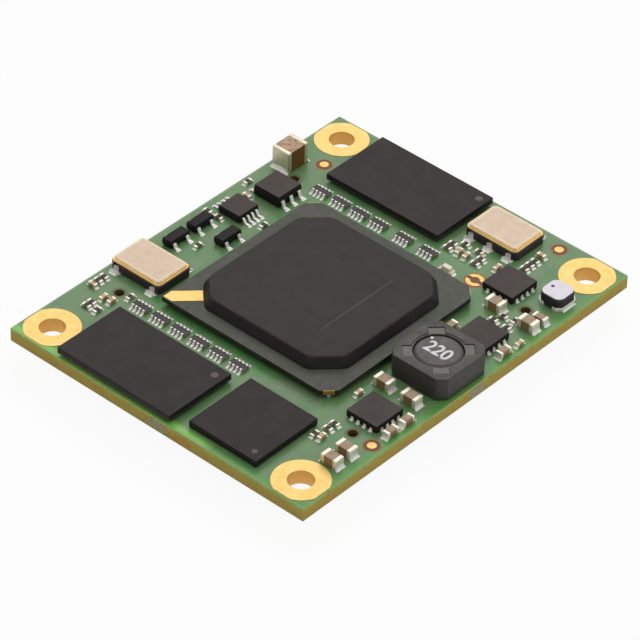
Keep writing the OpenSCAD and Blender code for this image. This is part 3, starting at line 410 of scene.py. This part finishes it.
PLATING = (srgb(247, 214, 132), srgb(239, 200, 112), 0.5, 0.4)
LOOKS = {
    "mask": solder_mask(),
    "mask_over_copper": raised_mask(),
    "gold": gold("gold_plating", *PLATING),
    # The lands' bores get painted shade: a darker gold on their upright walls.
    "land_gold": gold("land_plating", *PLATING, bore_shade=srgb(240, 192, 104)),
    "ring_gold": gold("seal_gold", srgb(248, 214, 146), srgb(234, 190, 112), 0.34, 0.5),
    "corner_copper": gold("corner_copper", srgb(228, 180, 116), srgb(170, 112, 58), 0.36, 0.6),
    "tin": tin(),
    "fired_tin": fired_tin("fired_tin", srgb(252, 246, 234), srgb(224, 212, 192), 0.5),
    "bulk_tin": fired_tin("bulk_tin", srgb(226, 218, 194), srgb(194, 186, 158), 0.7),
    # Painted shade: tin darkened to grey for the power inductor's terminals, which lie in shadow at the foot of
    # the inductor.
    "tin_in_painted_shade": fired_ceramic("tin_in_painted_shade", srgb(104, 100, 96), srgb(80, 76, 74), 0.45, 0.1),
    "mould": moulding("moulding_compound", srgb(54, 48, 47), srgb(47, 42, 41)),
    "mould_cap": moulding("cap_compound", srgb(59, 53, 51), srgb(53, 47, 45)),
    "mould_chip": moulding("chip_compound", srgb(84, 75, 71), srgb(72, 64, 61)),
    "mould_small": moulding("small_compound", srgb(29, 26, 23), srgb(23, 20, 18)),
    "mark": moulding("mould_mark", srgb(112, 105, 93), srgb(98, 92, 82)),
    "laminate": package_laminate(),
    "ceramic_dark": fired_ceramic("dark_ceramic", srgb(60, 38, 58), srgb(40, 25, 40), 0.36, 0.1),
    "lid": lid_metal("plated_lid", srgb(222, 199, 175), srgb(210, 185, 159)),
    "lid_rim": lid_metal("lid_rim", srgb(234, 216, 193), srgb(224, 203, 177)),
    "ferrite": ferrite("ferrite", srgb(90, 86, 81), srgb(70, 66, 63)),
    "drum_ferrite": ferrite("drum_ferrite", srgb(108, 102, 99), srgb(86, 81, 79)),
    "dark_ferrite": ferrite("dark_ferrite", srgb(44, 40, 40), srgb(30, 27, 27)),
    "enamel": enamel(),
    "epoxy": epoxy(),
    "coat": printed("printed_coat", srgb(248, 243, 250), srgb(240, 233, 244), 0.4),
    "ink": printed("white_ink", srgb(253, 253, 252), srgb(244, 244, 242), 0.5),
    "dark_ink": printed("dark_ink", srgb(40, 36, 40), srgb(26, 24, 26), 0.5),
    "capacitor": capacitor_ceramic("capacitor_body", srgb(178, 154, 130), srgb(160, 128, 90),
                                   srgb(128, 96, 60)),
    "bulk": capacitor_ceramic("bulk_body", srgb(220, 182, 150), srgb(122, 78, 30), srgb(84, 52, 14)),
    "small_capacitor": capacitor_ceramic("small_capacitor_body", srgb(226, 188, 158), srgb(194, 152, 118),
                                         srgb(158, 116, 84)),
    "resistor": resistor_film(),
    "base_white": printed("white_laminate", srgb(250, 238, 216), srgb(240, 226, 200), 0.5),
    "lens": lens_resin(),
    "housing": housing_plastic(),
    "bare": bare_laminate("bare_laminate", srgb(128, 66, 16), srgb(96, 44, 8)),
    "rim": bare_laminate("opening_rim", srgb(176, 106, 44), srgb(140, 78, 28)),
    "drilled": bare_laminate("drilled_rim", srgb(104, 112, 72), srgb(90, 102, 64)),
    "torn": torn_laminate(),
}


# Pieces

def finish_piece(name, mesh, looks, node=None):
    """Makes a piece from a bmesh, with its materials, and lets it stand for a CAD node if one is named."""
    data = bpy.data.meshes.new(name)
    mesh.normal_update()
    mesh.to_mesh(data)
    mesh.free()
    for look in looks:
        data.materials.append(LOOKS[look])
    data.shade_smooth()
    piece = bpy.data.objects.new(name, data)
    bpy.context.collection.objects.link(piece)
    weighted = piece.modifiers.new("even_shading", "WEIGHTED_NORMAL")
    weighted.keep_sharp = True
    weighted.weight = 80
    if node:
        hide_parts(node)
    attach(piece, "root")
    return piece


def cad_copy(node):
    """The CAD node's mesh as a bmesh with its faces joined up."""
    mesh = bmesh.new()
    mesh.from_mesh(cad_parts[node].data)
    bmesh.ops.remove_doubles(mesh, verts=mesh.verts, dist=WELD)
    bmesh.ops.dissolve_limit(mesh, angle_limit=0.002, verts=mesh.verts, edges=mesh.edges)
    return mesh


def sharp_edges(mesh):
    return [e for e in mesh.edges if len(e.link_faces) == 2 and e.calc_face_angle(0) > SHARP]


def upright(edge):
    a, b = edge.verts
    return abs((a.co - b.co).normalized().z) > 0.6


def round_off(mesh, edges, radius, segments):
    if edges:
        bmesh.ops.bevel(mesh, geom=edges, offset=radius * MM, offset_type="OFFSET", segments=segments,
                        profile=0.5, affect="EDGES", clamp_overlap=True)


def soften(node, look, radius, segments=2, corner=None):
    """A copy of a CAD node with rounded edges; corner rounds the upright edges first, by a larger radius."""
    mesh = cad_copy(node)
    if corner:
        round_off(mesh, [e for e in sharp_edges(mesh) if upright(e)], corner, 5)
    round_off(mesh, sharp_edges(mesh), radius, segments)
    return finish_piece(node + "_soft", mesh, [look], node)


def corner_marks():
    """The gold strip on the processor's substrate, and the browner copper on its cut corners."""
    node = "processor_corner_marks"
    mesh = cad_copy(node)
    round_off(mesh, sharp_edges(mesh), 0.01, 2)
    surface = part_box("processor_substrate")[1].z
    for face in mesh.faces:
        face.material_index = 0 if face.calc_center_median().z > surface else 1
    finish_piece(node + "_soft", mesh, ["gold", "corner_copper"], node)


def islands(node):
    """Boxes of a node's separate solids, as (low, high) pairs."""
    mesh = bmesh.new()
    mesh.from_mesh(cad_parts[node].data)
    bmesh.ops.remove_doubles(mesh, verts=mesh.verts, dist=WELD)
    left = set(mesh.verts)
    boxes = []
    while left:
        stack = [left.pop()]
        group = []
        while stack:
            vert = stack.pop()
            group.append(vert.co.copy())
            for edge in vert.link_edges:
                other = edge.other_vert(vert)
                if other in left:
                    left.remove(other)
                    stack.append(other)
        boxes.append((Vector([min(c[k] for c in group) for k in range(3)]),
                      Vector([max(c[k] for c in group) for k in range(3)])))
    mesh.free()
    return sorted(boxes, key=lambda b: tuple(round(v, 7) for v in b[0]))


def middle(box):
    return (box[0] + box[1]) / 2


def grid_faces(mesh, rows):
    """Quads between rows of points of one length; returns the made vertices."""
    made = [[mesh.verts.new(p) for p in row] for row in rows]
    for a, b in zip(made, made[1:]):
        for k in range(len(a) - 1):
            mesh.faces.new((a[k], a[k + 1], b[k + 1], b[k]))
    return made


# Lines along a solder fillet from one side to the other: place across, height and length, as shares.
FILLET_LINES = ((-1.0, 0.0, 0.82), (-0.96, 0.45, 0.93), (-0.72, 0.9, 1.0), (0.0, 1.0, 1.0),
                (0.72, 0.9, 1.0), (0.96, 0.45, 0.93), (1.0, 0.0, 0.82))
FILLET_STEPS = 6
FILLET_CURVE = 2.4   # how fast its height falls
FILLET_LIP = 0.03    # height at its outer end, in millimetres
FILLET_FILM = 0.004  # least height over the pad
FILLET_BITE = 0.02   # how far it starts behind the terminal's face
FILLET_TOE = 0.015   # how far its rim runs out on the pad


def fillet(mesh, foot, out, wide, reach, climb, sign=1.0):
    """A concave solder fillet from the foot of a terminal's end face outwards, on a pad as wide."""
    side = Vector((-out.y, out.x, 0))
    up = Vector((0, 0, sign))
    rows = []
    for share, high, long in FILLET_LINES:
        start = foot + side * (share * wide / 2)
        row = []
        for step in range(FILLET_STEPS + 1):
            t = step / FILLET_STEPS
            lift = (FILLET_LIP + (climb - FILLET_LIP) * (1 - t) ** FILLET_CURVE) * high + FILLET_FILM
            row.append(start + out * (reach * t * long - FILLET_BITE * MM) + up * (lift * MM))
        row.append(start + out * (reach * long + FILLET_TOE * MM))
        rows.append(row)
    made = grid_faces(mesh, rows)
    bmesh.ops.contextual_create(mesh, geom=[row[-1] for row in made] + [made[-1][0], made[0][0]])
    bmesh.ops.recalc_face_normals(mesh, faces=mesh.faces)


def nearest(box, bodies):
    return min(bodies, key=lambda body: (middle(body) - middle(box)).length)


def outward(box, bodies, in_rows=False):
    """The level axis direction from the nearest body to a terminal; along X if they stand in rows."""
    gap = middle(box) - middle(nearest(box, bodies))
    if in_rows or abs(gap.x) > abs(gap.y):
        return Vector((math.copysign(1, gap.x), 0, 0))
    return Vector((0, math.copysign(1, gap.y), 0))


def joint(mesh, box, out, reach, climb, extra=0.0, level=TOP, sign=1.0):
    """A fillet in front of the outer face of a terminal's box."""
    at = middle(box)
    half = (box[1] - box[0]) / 2
    along = abs(out.x) * half.x + abs(out.y) * half.y
    wide = 2 * (abs(out.y) * half.x + abs(out.x) * half.y) + extra * MM
    foot = Vector((at.x, at.y, level)) + out * along
    fillet(mesh, foot, out, wide, reach * MM, climb, sign)


def solder_flank(mesh, pad, chip):
    """Solder that has climbed the side of a leadless chip above one of its pads."""
    out = outward(pad, [chip])
    wide = abs(out.y) * (pad[1].x - pad[0].x) + abs(out.x) * (pad[1].y - pad[0].y)
    at = middle(pad)
    face = Vector((chip[1].x if out.x > 0 else chip[0].x if out.x < 0 else at.x,
                   chip[1].y if out.y > 0 else chip[0].y if out.y < 0 else at.y, TOP))
    fillet(mesh, face, out, wide + 0.06 * MM, reach=0.26 * MM, climb=0.5)


LARGEST_SIDE_PAD = 1.2  # a longer pad lies under the middle of its chip


def solder_joints():
    """Fillets at every end, lead and terminal, on both faces of the board."""
    top = bmesh.new()
    for ends, bodies, reach, climb in (
            ("ceramic_capacitor_ends", "ceramic_capacitors", 0.3, 0.5),
            ("small_capacitor_ends", "small_capacitors", 0.22, 0.24),
            ("chip_resistor_ends", "chip_resistors", 0.22, 0.2),
            ("bulk_capacitor_ends", "bulk_capacitor_body", 0.34, 0.55),
            ("array_terminals", "array_bodies", 0.5, 0.42)):
        around = islands(bodies)
        for box in islands(ends):
            out = outward(box, around, in_rows=ends == "array_terminals")
            joint(top, box, out, reach, climb, extra=0.06)
    transistors = [f"transistor_{name}_body" for name in ("left", "middle", "inner")]
    for leads, bodies in (("transistor_leads", transistors), ("monitor_leads", ["monitor_body"]),
                          ("driver_leads", ["driver_body"])):
        around = [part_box(body) for body in bodies]
        for box in islands(leads):
            out = Vector((0, math.copysign(1, middle(box).y - middle(nearest(box, around)).y), 0))
            joint(top, box, out, reach=0.26, climb=0.15, extra=0.2)
    for side in ("left", "right"):
        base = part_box(f"oscillator_{side}_base")
        for box in islands(f"oscillator_{side}_terminals"):
            out = Vector((math.copysign(1, middle(box).x - middle(base).x), 0, 0))
            joint(top, box, out, reach=0.36, climb=0.5, extra=-0.3)
    for box in islands("small_inductor_terminals"):
        out = outward(box, [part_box("small_inductor_body")])
        joint(top, box, out, reach=0.2, climb=0.3, extra=-1.1)
    chips = [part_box(f"regulator_{name}_body") for name in ("front", "middle", "right")]
    for box in islands("regulator_pads"):
        size = box[1] - box[0]
        if max(size.x, size.y) < LARGEST_SIDE_PAD * MM:
            solder_flank(top, box, nearest(box, chips))
    for way in (-1, 1):
        joint(top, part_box("indicator_base"), Vector((0, way, 0)), reach=0.28, climb=0.16, extra=-0.1)
    finish_piece("solder_joints", top, ["tin"])
    below = bmesh.new()
    around = islands("decoupling_capacitors")
    for box in islands("decoupling_capacitor_ends"):
        joint(below, box, outward(box, around), reach=0.22, climb=0.24, extra=0.04, level=BOTTOM, sign=-1.0)
    for name in ("front", "back"):
        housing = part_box(f"connector_{name}_housing")
        for box in islands(f"connector_{name}_contacts"):
            out = Vector((0, math.copysign(1, middle(box).y - middle(housing).y), 0))
            joint(below, box, out, reach=0.2, climb=0.1, extra=0.04, level=BOTTOM, sign=-1.0)
    finish_piece("solder_joints_below", below, ["tin"])


def ring(centre, radius, lift, sides):
    """Points round a level circle, the first one also at the end."""
    turns = (2 * math.pi * k / sides for k in range(sides + 1))
    return [centre + Vector((radius * math.cos(a), radius * math.sin(a), lift)) for a in turns]


def washer(mesh, centre, inner, outer, height, look):
    """A flat ring that lies on a face of the board. The radii and the height are in millimetres."""
    slope = 0.03
    before = set(mesh.faces)
    grid_faces(mesh, [ring(centre, radius * MM, lift * MM, 40)
                      for radius, lift in ((inner, height), (outer - slope, height), (outer, 0.0))])
    for face in set(mesh.faces) - before:
        face.material_index = look


def mask_openings():
    """Brown rings of bare laminate round the fiducials, the jumper and the guide-pin holes."""
    mesh = bmesh.new()
    bare, rim, drilled = 0, 1, 2
    film, rim_height = 0.006, 0.01
    marks = islands("gold_marks")
    dots = [b for b in marks if abs((b[1] - b[0]).x - (b[1] - b[0]).y) < 0.02 * MM]
    for box in dots:
        at = Vector((middle(box).x, middle(box).y, TOP))
        radius = (box[1] - box[0]).x / 2 / MM
        washer(mesh, at, radius * 0.98, radius + 0.34, film, bare)
        washer(mesh, at, radius + 0.34, radius + 0.46, rim_height, rim)
    halves = [b for b in marks if b not in dots]
    low = Vector([min(b[0][k] for b in halves) for k in range(3)])
    high = Vector([max(b[1][k] for b in halves) for k in range(3)])
    at = Vector(((low.x + high.x) / 2, (low.y + high.y) / 2, TOP))
    radius = max(high.x - low.x, high.y - low.y) / 2 / MM
    washer(mesh, at, 0.02, radius + 0.1, film, bare)
    washer(mesh, at, radius + 0.06, radius + 0.22, rim_height, rim)
    for x in (-GUIDE_X, GUIDE_X):
        for y in (-GUIDE_Y, GUIDE_Y):
            washer(mesh, Vector((x * MM, y * MM, TOP)), 0.55, 0.85, film, drilled)
    bmesh.ops.recalc_face_normals(mesh, faces=mesh.faces)
    finish_piece("mask_openings", mesh, ["bare", "rim", "drilled"])


def ribbon(mesh, points, width, height):
    """A trace: a low strip with bevelled flanks along a line of points on the board's top."""
    rows = []
    for k, point in enumerate(points):
        ahead = points[min(k + 1, len(points) - 1)] - points[max(k - 1, 0)]
        side = Vector((-ahead.y, ahead.x, 0)).normalized()
        rows.append([point + side * (share * width / 2) + Vector((0, 0, lift * height))
                     for share, lift in ((-1.5, 0), (-1, 1), (1, 1), (1.5, 0))])
    grid_faces(mesh, rows)


def dome(mesh, centre, radius, height):
    """A filled via: a low dome with a dimple."""
    grid_faces(mesh, [ring(centre, radius * share, height * lift, 14)
                      for share, lift in ((1.0, 0.0), (0.8, 0.7), (0.45, 1.0), (0.05, 0.75))])


def copper_relief():
    """Traces and filled vias that show through the mask in the open parts of the board."""
    mesh = bmesh.new()
    copper = 0.018
    array_pitch, terminals = 0.5, 4
    via_radius, via_height = 0.24, 0.02

    def trace(*points, width=0.16):
        ribbon(mesh, [Vector((x * MM, y * MM, TOP)) for x, y in points], width * MM, copper * MM)

    def comb(start, stop, middles):
        """Traces from the terminals of a column of resistor arrays towards the processor."""
        for y in middles:
            for k in range(terminals):
                at = y + (k - (terminals - 1) / 2) * array_pitch
                trace((start, at), (stop, at), width=0.12)

    for k in range(6):
        trace((-14.4 + 0.35 * k, -4.4 - 0.1 * k), (-13.2 + 0.35 * k, -6.2 - 0.1 * k),
              (-13.2 + 0.35 * k, -9.6 + 0.25 * k), (-12.1 + 0.2 * k, -10.9 + 0.1 * k))
    for k in range(4):
        trace((18.2 + 0.34 * k, -13.6), (18.2 + 0.34 * k, -12.9), (18.6 + 0.34 * k, -12.5))
    for k in range(4):
        trace((21.9 + 0.3 * k, -10.9), (21.9 + 0.3 * k, -12.4 + 0.2 * k))
    for k in range(3):
        trace((-7.2 + 0.32 * k, 12.2), (-7.2 + 0.32 * k, 12.6))
    comb(-13.0, -11.9, (12.6, 9.9, 7.2, 4.5, 1.8, -0.9))
    comb(11.5, 12.9, (12.3, 9.6, 6.9, 4.2, 0.7, -2.6))
    for x, y in ((-12.4, -7.0), (-12.4, -8.0), (-12.4, -9.0), (-16.4, 18.3), (-19.4, 19.0), (-10.2, 12.3),
                 (2.9, 12.5), (3.6, 14.4), (-5.1, 13.0), (-1.2, 13.4), (12.5, 14.4), (13.4, 14.9),
                 (18.4, 14.2), (14.1, -1.2), (13.8, -8.0), (17.4, -2.9), (23.6, -2.6), (-14.8, -15.9),
                 (-12.3, -12.6), (-19.6, -13.6), (17.9, -14.6), (20.8, -13.1)):
        dome(mesh, Vector((x * MM, y * MM, TOP)), via_radius * MM, via_height * MM)
    bmesh.ops.recalc_face_normals(mesh, faces=mesh.faces)
    finish_piece("copper_relief", mesh, ["mask_over_copper"])


def torn_tabs():
    """Rough remains of the break-off tabs on the board's edges."""
    mesh = bmesh.new()
    dice = random.Random(7)
    steps, layers = 30, 8
    ragged = 0.35                # how much shorter a layer may be at each end, as a share
    sunk, rise, fray = 0.012, 0.028, 0.014
    # Place of a tab's middle, way out, half length, and lowest and highest share of the board's thickness.
    for x, y, out, half, low, high in ((0.9, -20, (0, -1, 0), 1.4, 0.0, 0.97),
                                       (-25, -0.6, (-1, 0, 0), 1.7, 0.1, 0.9),
                                       (-1.2, 20, (0, 1, 0), 1.3, 0.05, 0.95),
                                       (25, -0.6, (1, 0, 0), 1.4, 0.05, 0.95)):
        at = Vector((x, y, 0)) * MM
        out = Vector(out)
        along = Vector((abs(out.y), abs(out.x), 0))
        ends = [(-1 + ragged * dice.random(), 1 - ragged * dice.random()) for _ in range(layers + 1)]
        rows = []
        for i in range(steps + 1):
            t = i / steps
            row = []
            for j, (start, stop) in enumerate(ends):
                v = low + (high - low) * j / layers
                edge = min(1.0, 6 * t, 6 * (1 - t)) * min(1.0, j / 2, (layers - j) / 2)
                proud = -sunk + edge * (rise + fray * dice.random())
                row.append(at + along * ((start + (stop - start) * t) * half * MM) + out * (proud * MM)
                           + Vector((0, 0, BOTTOM + (TOP - BOTTOM) * v)))
            rows.append(row)
        grid_faces(mesh, rows)
    bmesh.ops.recalc_face_normals(mesh, faces=mesh.faces)
    finish_piece("torn_tabs", mesh, ["torn"])


def disc(mesh, centre, radius, height):
    """A shallow round mark: a flat disc with a sloped rim."""
    grid_faces(mesh, [ring(centre, radius * share, lift, 32)
                      for share, lift in ((1.0, 0.0), (0.9, height), (0.5, height), (0.02, height))])


def mould_marks():
    """Pin-one marks on the chips and the scored line on the processor's cap."""
    mesh = bmesh.new()
    film = 0.006

    def spot(mesh, node, x, y, radius):
        disc(mesh, Vector((x * MM, y * MM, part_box(node)[1].z)), radius * MM, film * MM)

    spot(mesh, "memory_left_body", -17.1, -0.9, 0.42)
    spot(mesh, "memory_right_body", 23.18, -1.29, 0.42)
    spot(mesh, "transceiver_body", -22.7, -11.5, 0.3)
    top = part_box("processor_cap")[1].z
    line_y, line_width, line_height = -4.7, 0.05, 0.004
    line = [Vector((x * MM, line_y * MM, top)) for x in (-5.57, -2.0, 2.0, 5.63)]
    ribbon(mesh, line, line_width * MM, line_height * MM)
    bmesh.ops.recalc_face_normals(mesh, faces=mesh.faces)
    finish_piece("mould_marks", mesh, ["mark"])
    dot = bmesh.new()
    spot(dot, "small_inductor_coat", 16.8, -16.6, 0.2)
    bmesh.ops.recalc_face_normals(dot, faces=dot.faces)
    finish_piece("coat_mark", dot, ["dark_ink"])


def number():
    """A plain number in white on the power inductor, read from the board's -X side, with a dot."""
    long, tall, film = 3.1, 1.75, 0.012
    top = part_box("inductor_drum_core")[1].z
    centre = middle(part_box("inductor_drum_core"))
    curve = bpy.data.curves.new("inductor_number", "FONT")
    curve.body = "220"
    curve.size = 1.0
    curve.align_x = "CENTER"
    curve.align_y = "CENTER"
    curve.offset = 0.024
    text = bpy.data.objects.new("number_curve", curve)
    bpy.context.collection.objects.link(text)
    bpy.context.view_layer.update()
    data = bpy.data.meshes.new_from_object(text.evaluated_get(bpy.context.evaluated_depsgraph_get()))
    bpy.data.objects.remove(text)
    mesh = bmesh.new()
    mesh.from_mesh(data)
    low = [min(v.co[k] for v in mesh.verts) for k in range(2)]
    high = [max(v.co[k] for v in mesh.verts) for k in range(2)]
    for vert in mesh.verts:
        u = ((vert.co.x - low[0]) / (high[0] - low[0]) - 0.5) * long * MM
        v = ((vert.co.y - low[1]) / (high[1] - low[1]) - 0.5) * tall * MM
        vert.co = Vector((centre.x + v, centre.y - u, top))
    raised = bmesh.ops.extrude_face_region(mesh, geom=mesh.faces[:])
    for item in raised["geom"]:
        if isinstance(item, bmesh.types.BMVert):
            item.co.z += film * MM
    disc(mesh, Vector((centre.x + 1.08 * MM, centre.y + 1.82 * MM, top)), 0.17 * MM, film * MM)
    bmesh.ops.recalc_face_normals(mesh, faces=mesh.faces)
    finish_piece("inductor_number", mesh, ["ink"])


def oscillator_lid(side):
    """The welded lid: a paler seam border round a middle that lies a little lower."""
    seam, step, drop = 0.22, 0.05, 0.012
    node = f"oscillator_{side}_lid"
    mesh = cad_copy(node)
    bmesh.ops.dissolve_faces(mesh, faces=[f for f in mesh.faces if f.normal.z > 0.9], use_verts=False)
    round_off(mesh, sharp_edges(mesh), 0.04, 2)
    crown = max((f for f in mesh.faces if f.normal.z > 0.9), key=lambda f: f.calc_area())
    bmesh.ops.inset_region(mesh, faces=[crown], thickness=seam * MM, depth=0.0)
    border = [f for f in mesh.faces if f is not crown]
    bmesh.ops.inset_region(mesh, faces=[crown], thickness=step * MM, depth=-drop * MM)
    for face in border:
        face.material_index = 1
    finish_piece(node + "_soft", mesh, ["lid", "lid_rim"], node)


soften("circuit_board", "mask", 0.05)
soften("gold_marks", "gold", 0.015)
soften("processor_substrate", "laminate", 0.04)
soften("processor_cap", "mould_cap", 0.14, 3, corner=0.5)
corner_marks()
for chip in ("memory_left", "memory_right"):
    soften(chip + "_body", "mould", 0.05)
    soften(chip + "_base", "laminate", 0.03)
soften("transceiver_body", "mould", 0.05)
for side in ("left", "right"):
    soften(f"oscillator_{side}_base", "ceramic_dark", 0.04)
    soften(f"oscillator_{side}_ring", "ring_gold", 0.04)
    soften(f"oscillator_{side}_terminals", "tin", 0.02)
    oscillator_lid(side)
soften("inductor_shield", "ferrite", 0.12, 3)
soften("inductor_drum_core", "drum_ferrite", 0.05)
soften("inductor_epoxy", "epoxy", 0.04)
soften("small_inductor_body", "dark_ferrite", 0.16, 3, corner=0.3)
soften("small_inductor_coat", "coat", 0.03, 2, corner=0.3)
soften("small_inductor_terminals", "tin", 0.03)
for name in ("front", "middle", "right"):
    soften(f"regulator_{name}_body", "mould_chip", 0.05)
for name in ("monitor", "driver"):
    soften(name + "_body", "mould_chip", 0.07)
for name in ("transistor_left", "transistor_middle", "transistor_inner"):
    soften(name + "_body", "mould_small", 0.07)
for name in ("transistor", "monitor", "driver"):
    soften(name + "_leads", "tin", 0.03)
soften("bulk_capacitor_body", "bulk", 0.05)
soften("bulk_capacitor_ends", "bulk_tin", 0.12, 3)
soften("array_bodies", "resistor", 0.02)
soften("array_terminals", "tin", 0.015)
soften("ceramic_capacitors", "capacitor", 0.04)
soften("ceramic_capacitor_ends", "fired_tin", 0.07, 3)
soften("small_capacitors", "small_capacitor", 0.03)
soften("small_capacitor_ends", "fired_tin", 0.04)
soften("chip_resistors", "resistor", 0.02)
soften("chip_resistor_ends", "fired_tin", 0.03)
soften("indicator_base", "base_white", 0.02)
soften("indicator_lens", "lens", 0.06, 3)
for name in ("front", "back"):
    soften(f"connector_{name}_housing", "housing", 0.05)
    soften(f"connector_{name}_contacts", "gold", 0.02)
soften("decoupling_capacitors", "small_capacitor", 0.03)
soften("decoupling_capacitor_ends", "tin", 0.04)

for node, look in (("mounting_lands", "land_gold"), ("processor_balls", "tin"), ("memory_balls", "tin"),
                   ("transceiver_pads", "tin"), ("regulator_pads", "tin"),
                   ("inductor_terminals", "tin_in_painted_shade"), ("inductor_winding", "enamel")):
    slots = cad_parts[node].data.materials
    slots.clear()
    slots.append(LOOKS[look])

solder_joints()
mask_openings()
copper_relief()
torn_tabs()
mould_marks()
number()


# Stage, light and camera

def seen_directly(tree):
    """1 for camera, glossy and transmission rays, and 0 for the rays that light the object."""
    path = tree.nodes.new("ShaderNodeLightPath")
    total = path.outputs["Is Camera Ray"]
    for label in ("Is Glossy Ray", "Is Transmission Ray"):
        both = tree.nodes.new("ShaderNodeMath")
        both.operation = "MAXIMUM"
        tree.links.new(total, both.inputs[0])
        tree.links.new(path.outputs[label], both.inputs[1])
        total = both.outputs[0]
    return total


def make_floor():
    """A pale floor that looks white and keeps a soft shadow of the object."""
    half, drop = 3.0, 0.02 * MM
    white_share = 0.93  # the rest shows the floor's own shading
    mesh = bmesh.new()
    bmesh.ops.create_grid(mesh, x_segments=8, y_segments=8, size=half)
    data = bpy.data.meshes.new("floor")
    mesh.to_mesh(data)
    mesh.free()
    floor = bpy.data.objects.new("floor", data)
    floor.location.z = -drop
    bpy.context.collection.objects.link(floor)
    material = bpy.data.materials.new("pale_floor")
    material.use_nodes = True
    tree = material.node_tree
    surface = tree.nodes["Principled BSDF"]
    surface.inputs["Base Color"].default_value = (0.92, 0.92, 0.92, 1)
    surface.inputs["Roughness"].default_value = 0.9
    glow = tree.nodes.new("ShaderNodeEmission")
    glow.inputs["Strength"].default_value = 1.0
    share = tree.nodes.new("ShaderNodeMath")
    share.operation = "MULTIPLY"
    share.inputs[1].default_value = white_share
    tree.links.new(seen_directly(tree), share.inputs[0])
    mixed = tree.nodes.new("ShaderNodeMixShader")
    tree.links.new(share.outputs[0], mixed.inputs[0])
    tree.links.new(surface.outputs[0], mixed.inputs[1])
    tree.links.new(glow.outputs[0], mixed.inputs[2])
    tree.links.new(mixed.outputs[0], tree.nodes["Material Output"].inputs["Surface"])
    data.materials.append(material)


def make_light():
    """A soft dome that dims towards the horizon and looks white, and two broad lamps behind and beside."""
    dome_levels = ((0.3, 0.07), (0.6, 0.48), (0.9, 1.0))  # height of a direction, and brightness there
    dome_strength = 0.86
    world = bpy.data.worlds.new("studio")
    bpy.context.scene.world = world
    world.use_nodes = True
    tree = world.node_tree
    tree.nodes.clear()
    direction = tree.nodes.new("ShaderNodeTexCoord")
    parts = tree.nodes.new("ShaderNodeSeparateXYZ")
    tree.links.new(direction.outputs["Generated"], parts.inputs[0])
    ramp = tree.nodes.new("ShaderNodeValToRGB")
    tree.links.new(parts.outputs[2], ramp.inputs[0])
    elements = ramp.color_ramp.elements
    elements.new(0.9)
    for element, (at, level) in zip(elements, dome_levels):
        element.position = at
        element.color = (level, level, level, 1)
    dome = tree.nodes.new("ShaderNodeBackground")
    dome.inputs["Strength"].default_value = dome_strength
    tree.links.new(ramp.outputs[0], dome.inputs["Color"])
    white = tree.nodes.new("ShaderNodeBackground")
    white.inputs["Color"].default_value = (1, 1, 1, 1)
    mixed = tree.nodes.new("ShaderNodeMixShader")
    tree.links.new(seen_directly(tree), mixed.inputs[0])
    tree.links.new(dome.outputs[0], mixed.inputs[1])
    tree.links.new(white.outputs[0], mixed.inputs[2])
    out = tree.nodes.new("ShaderNodeOutputWorld")
    tree.links.new(mixed.outputs[0], out.inputs["Surface"])

    for name, size, energy, place in (("softbox", (0.42, 0.34), 0.66, (0.26, 0.2, 0.36)),
                                      ("fill", (0.3, 0.3), 0.16, (0.2, -0.28, 0.22))):
        lamp_data = bpy.data.lights.new(name, "AREA")
        lamp_data.shape = "RECTANGLE"
        lamp_data.size, lamp_data.size_y = size
        lamp_data.energy = energy
        lamp = bpy.data.objects.new(name, lamp_data)
        bpy.context.collection.objects.link(lamp)
        lamp.location = Vector(place)
        lamp.rotation_mode = "QUATERNION"
        lamp.rotation_quaternion = lamp.location.to_track_quat("Z", "Y")


def make_camera():
    """The photograph's view, from the fitted angles, roll, distance and focal length."""
    azimuth, elevation, roll = (math.radians(angle) for angle in (-49.0887, 39.1265, 1.7362))
    target, distance = Vector((-2.387, -1.824, 4.0)) * MM, 430.514 * MM
    back = Vector((math.sin(azimuth) * math.cos(elevation), -math.cos(azimuth) * math.cos(elevation),
                   math.sin(elevation)))
    right = Vector((math.cos(azimuth), math.sin(azimuth), 0))
    up = back.cross(right)
    turned_right = right * math.cos(roll) + up * math.sin(roll)
    turned_up = up * math.cos(roll) - right * math.sin(roll)
    eye = target + back * distance
    data = bpy.data.cameras.new("camera")
    data.sensor_width = 36.0
    data.lens = 238.03
    data.clip_start = 0.01
    data.clip_end = 20.0
    camera = bpy.data.objects.new("camera", data)
    bpy.context.collection.objects.link(camera)
    turn = Matrix((turned_right, turned_up, back)).transposed()
    camera.matrix_world = Matrix.Translation(eye) @ turn.to_4x4()
    bpy.context.scene.camera = camera


make_floor()
make_light()
make_camera()
bpy.context.scene.view_settings.view_transform = "Standard"
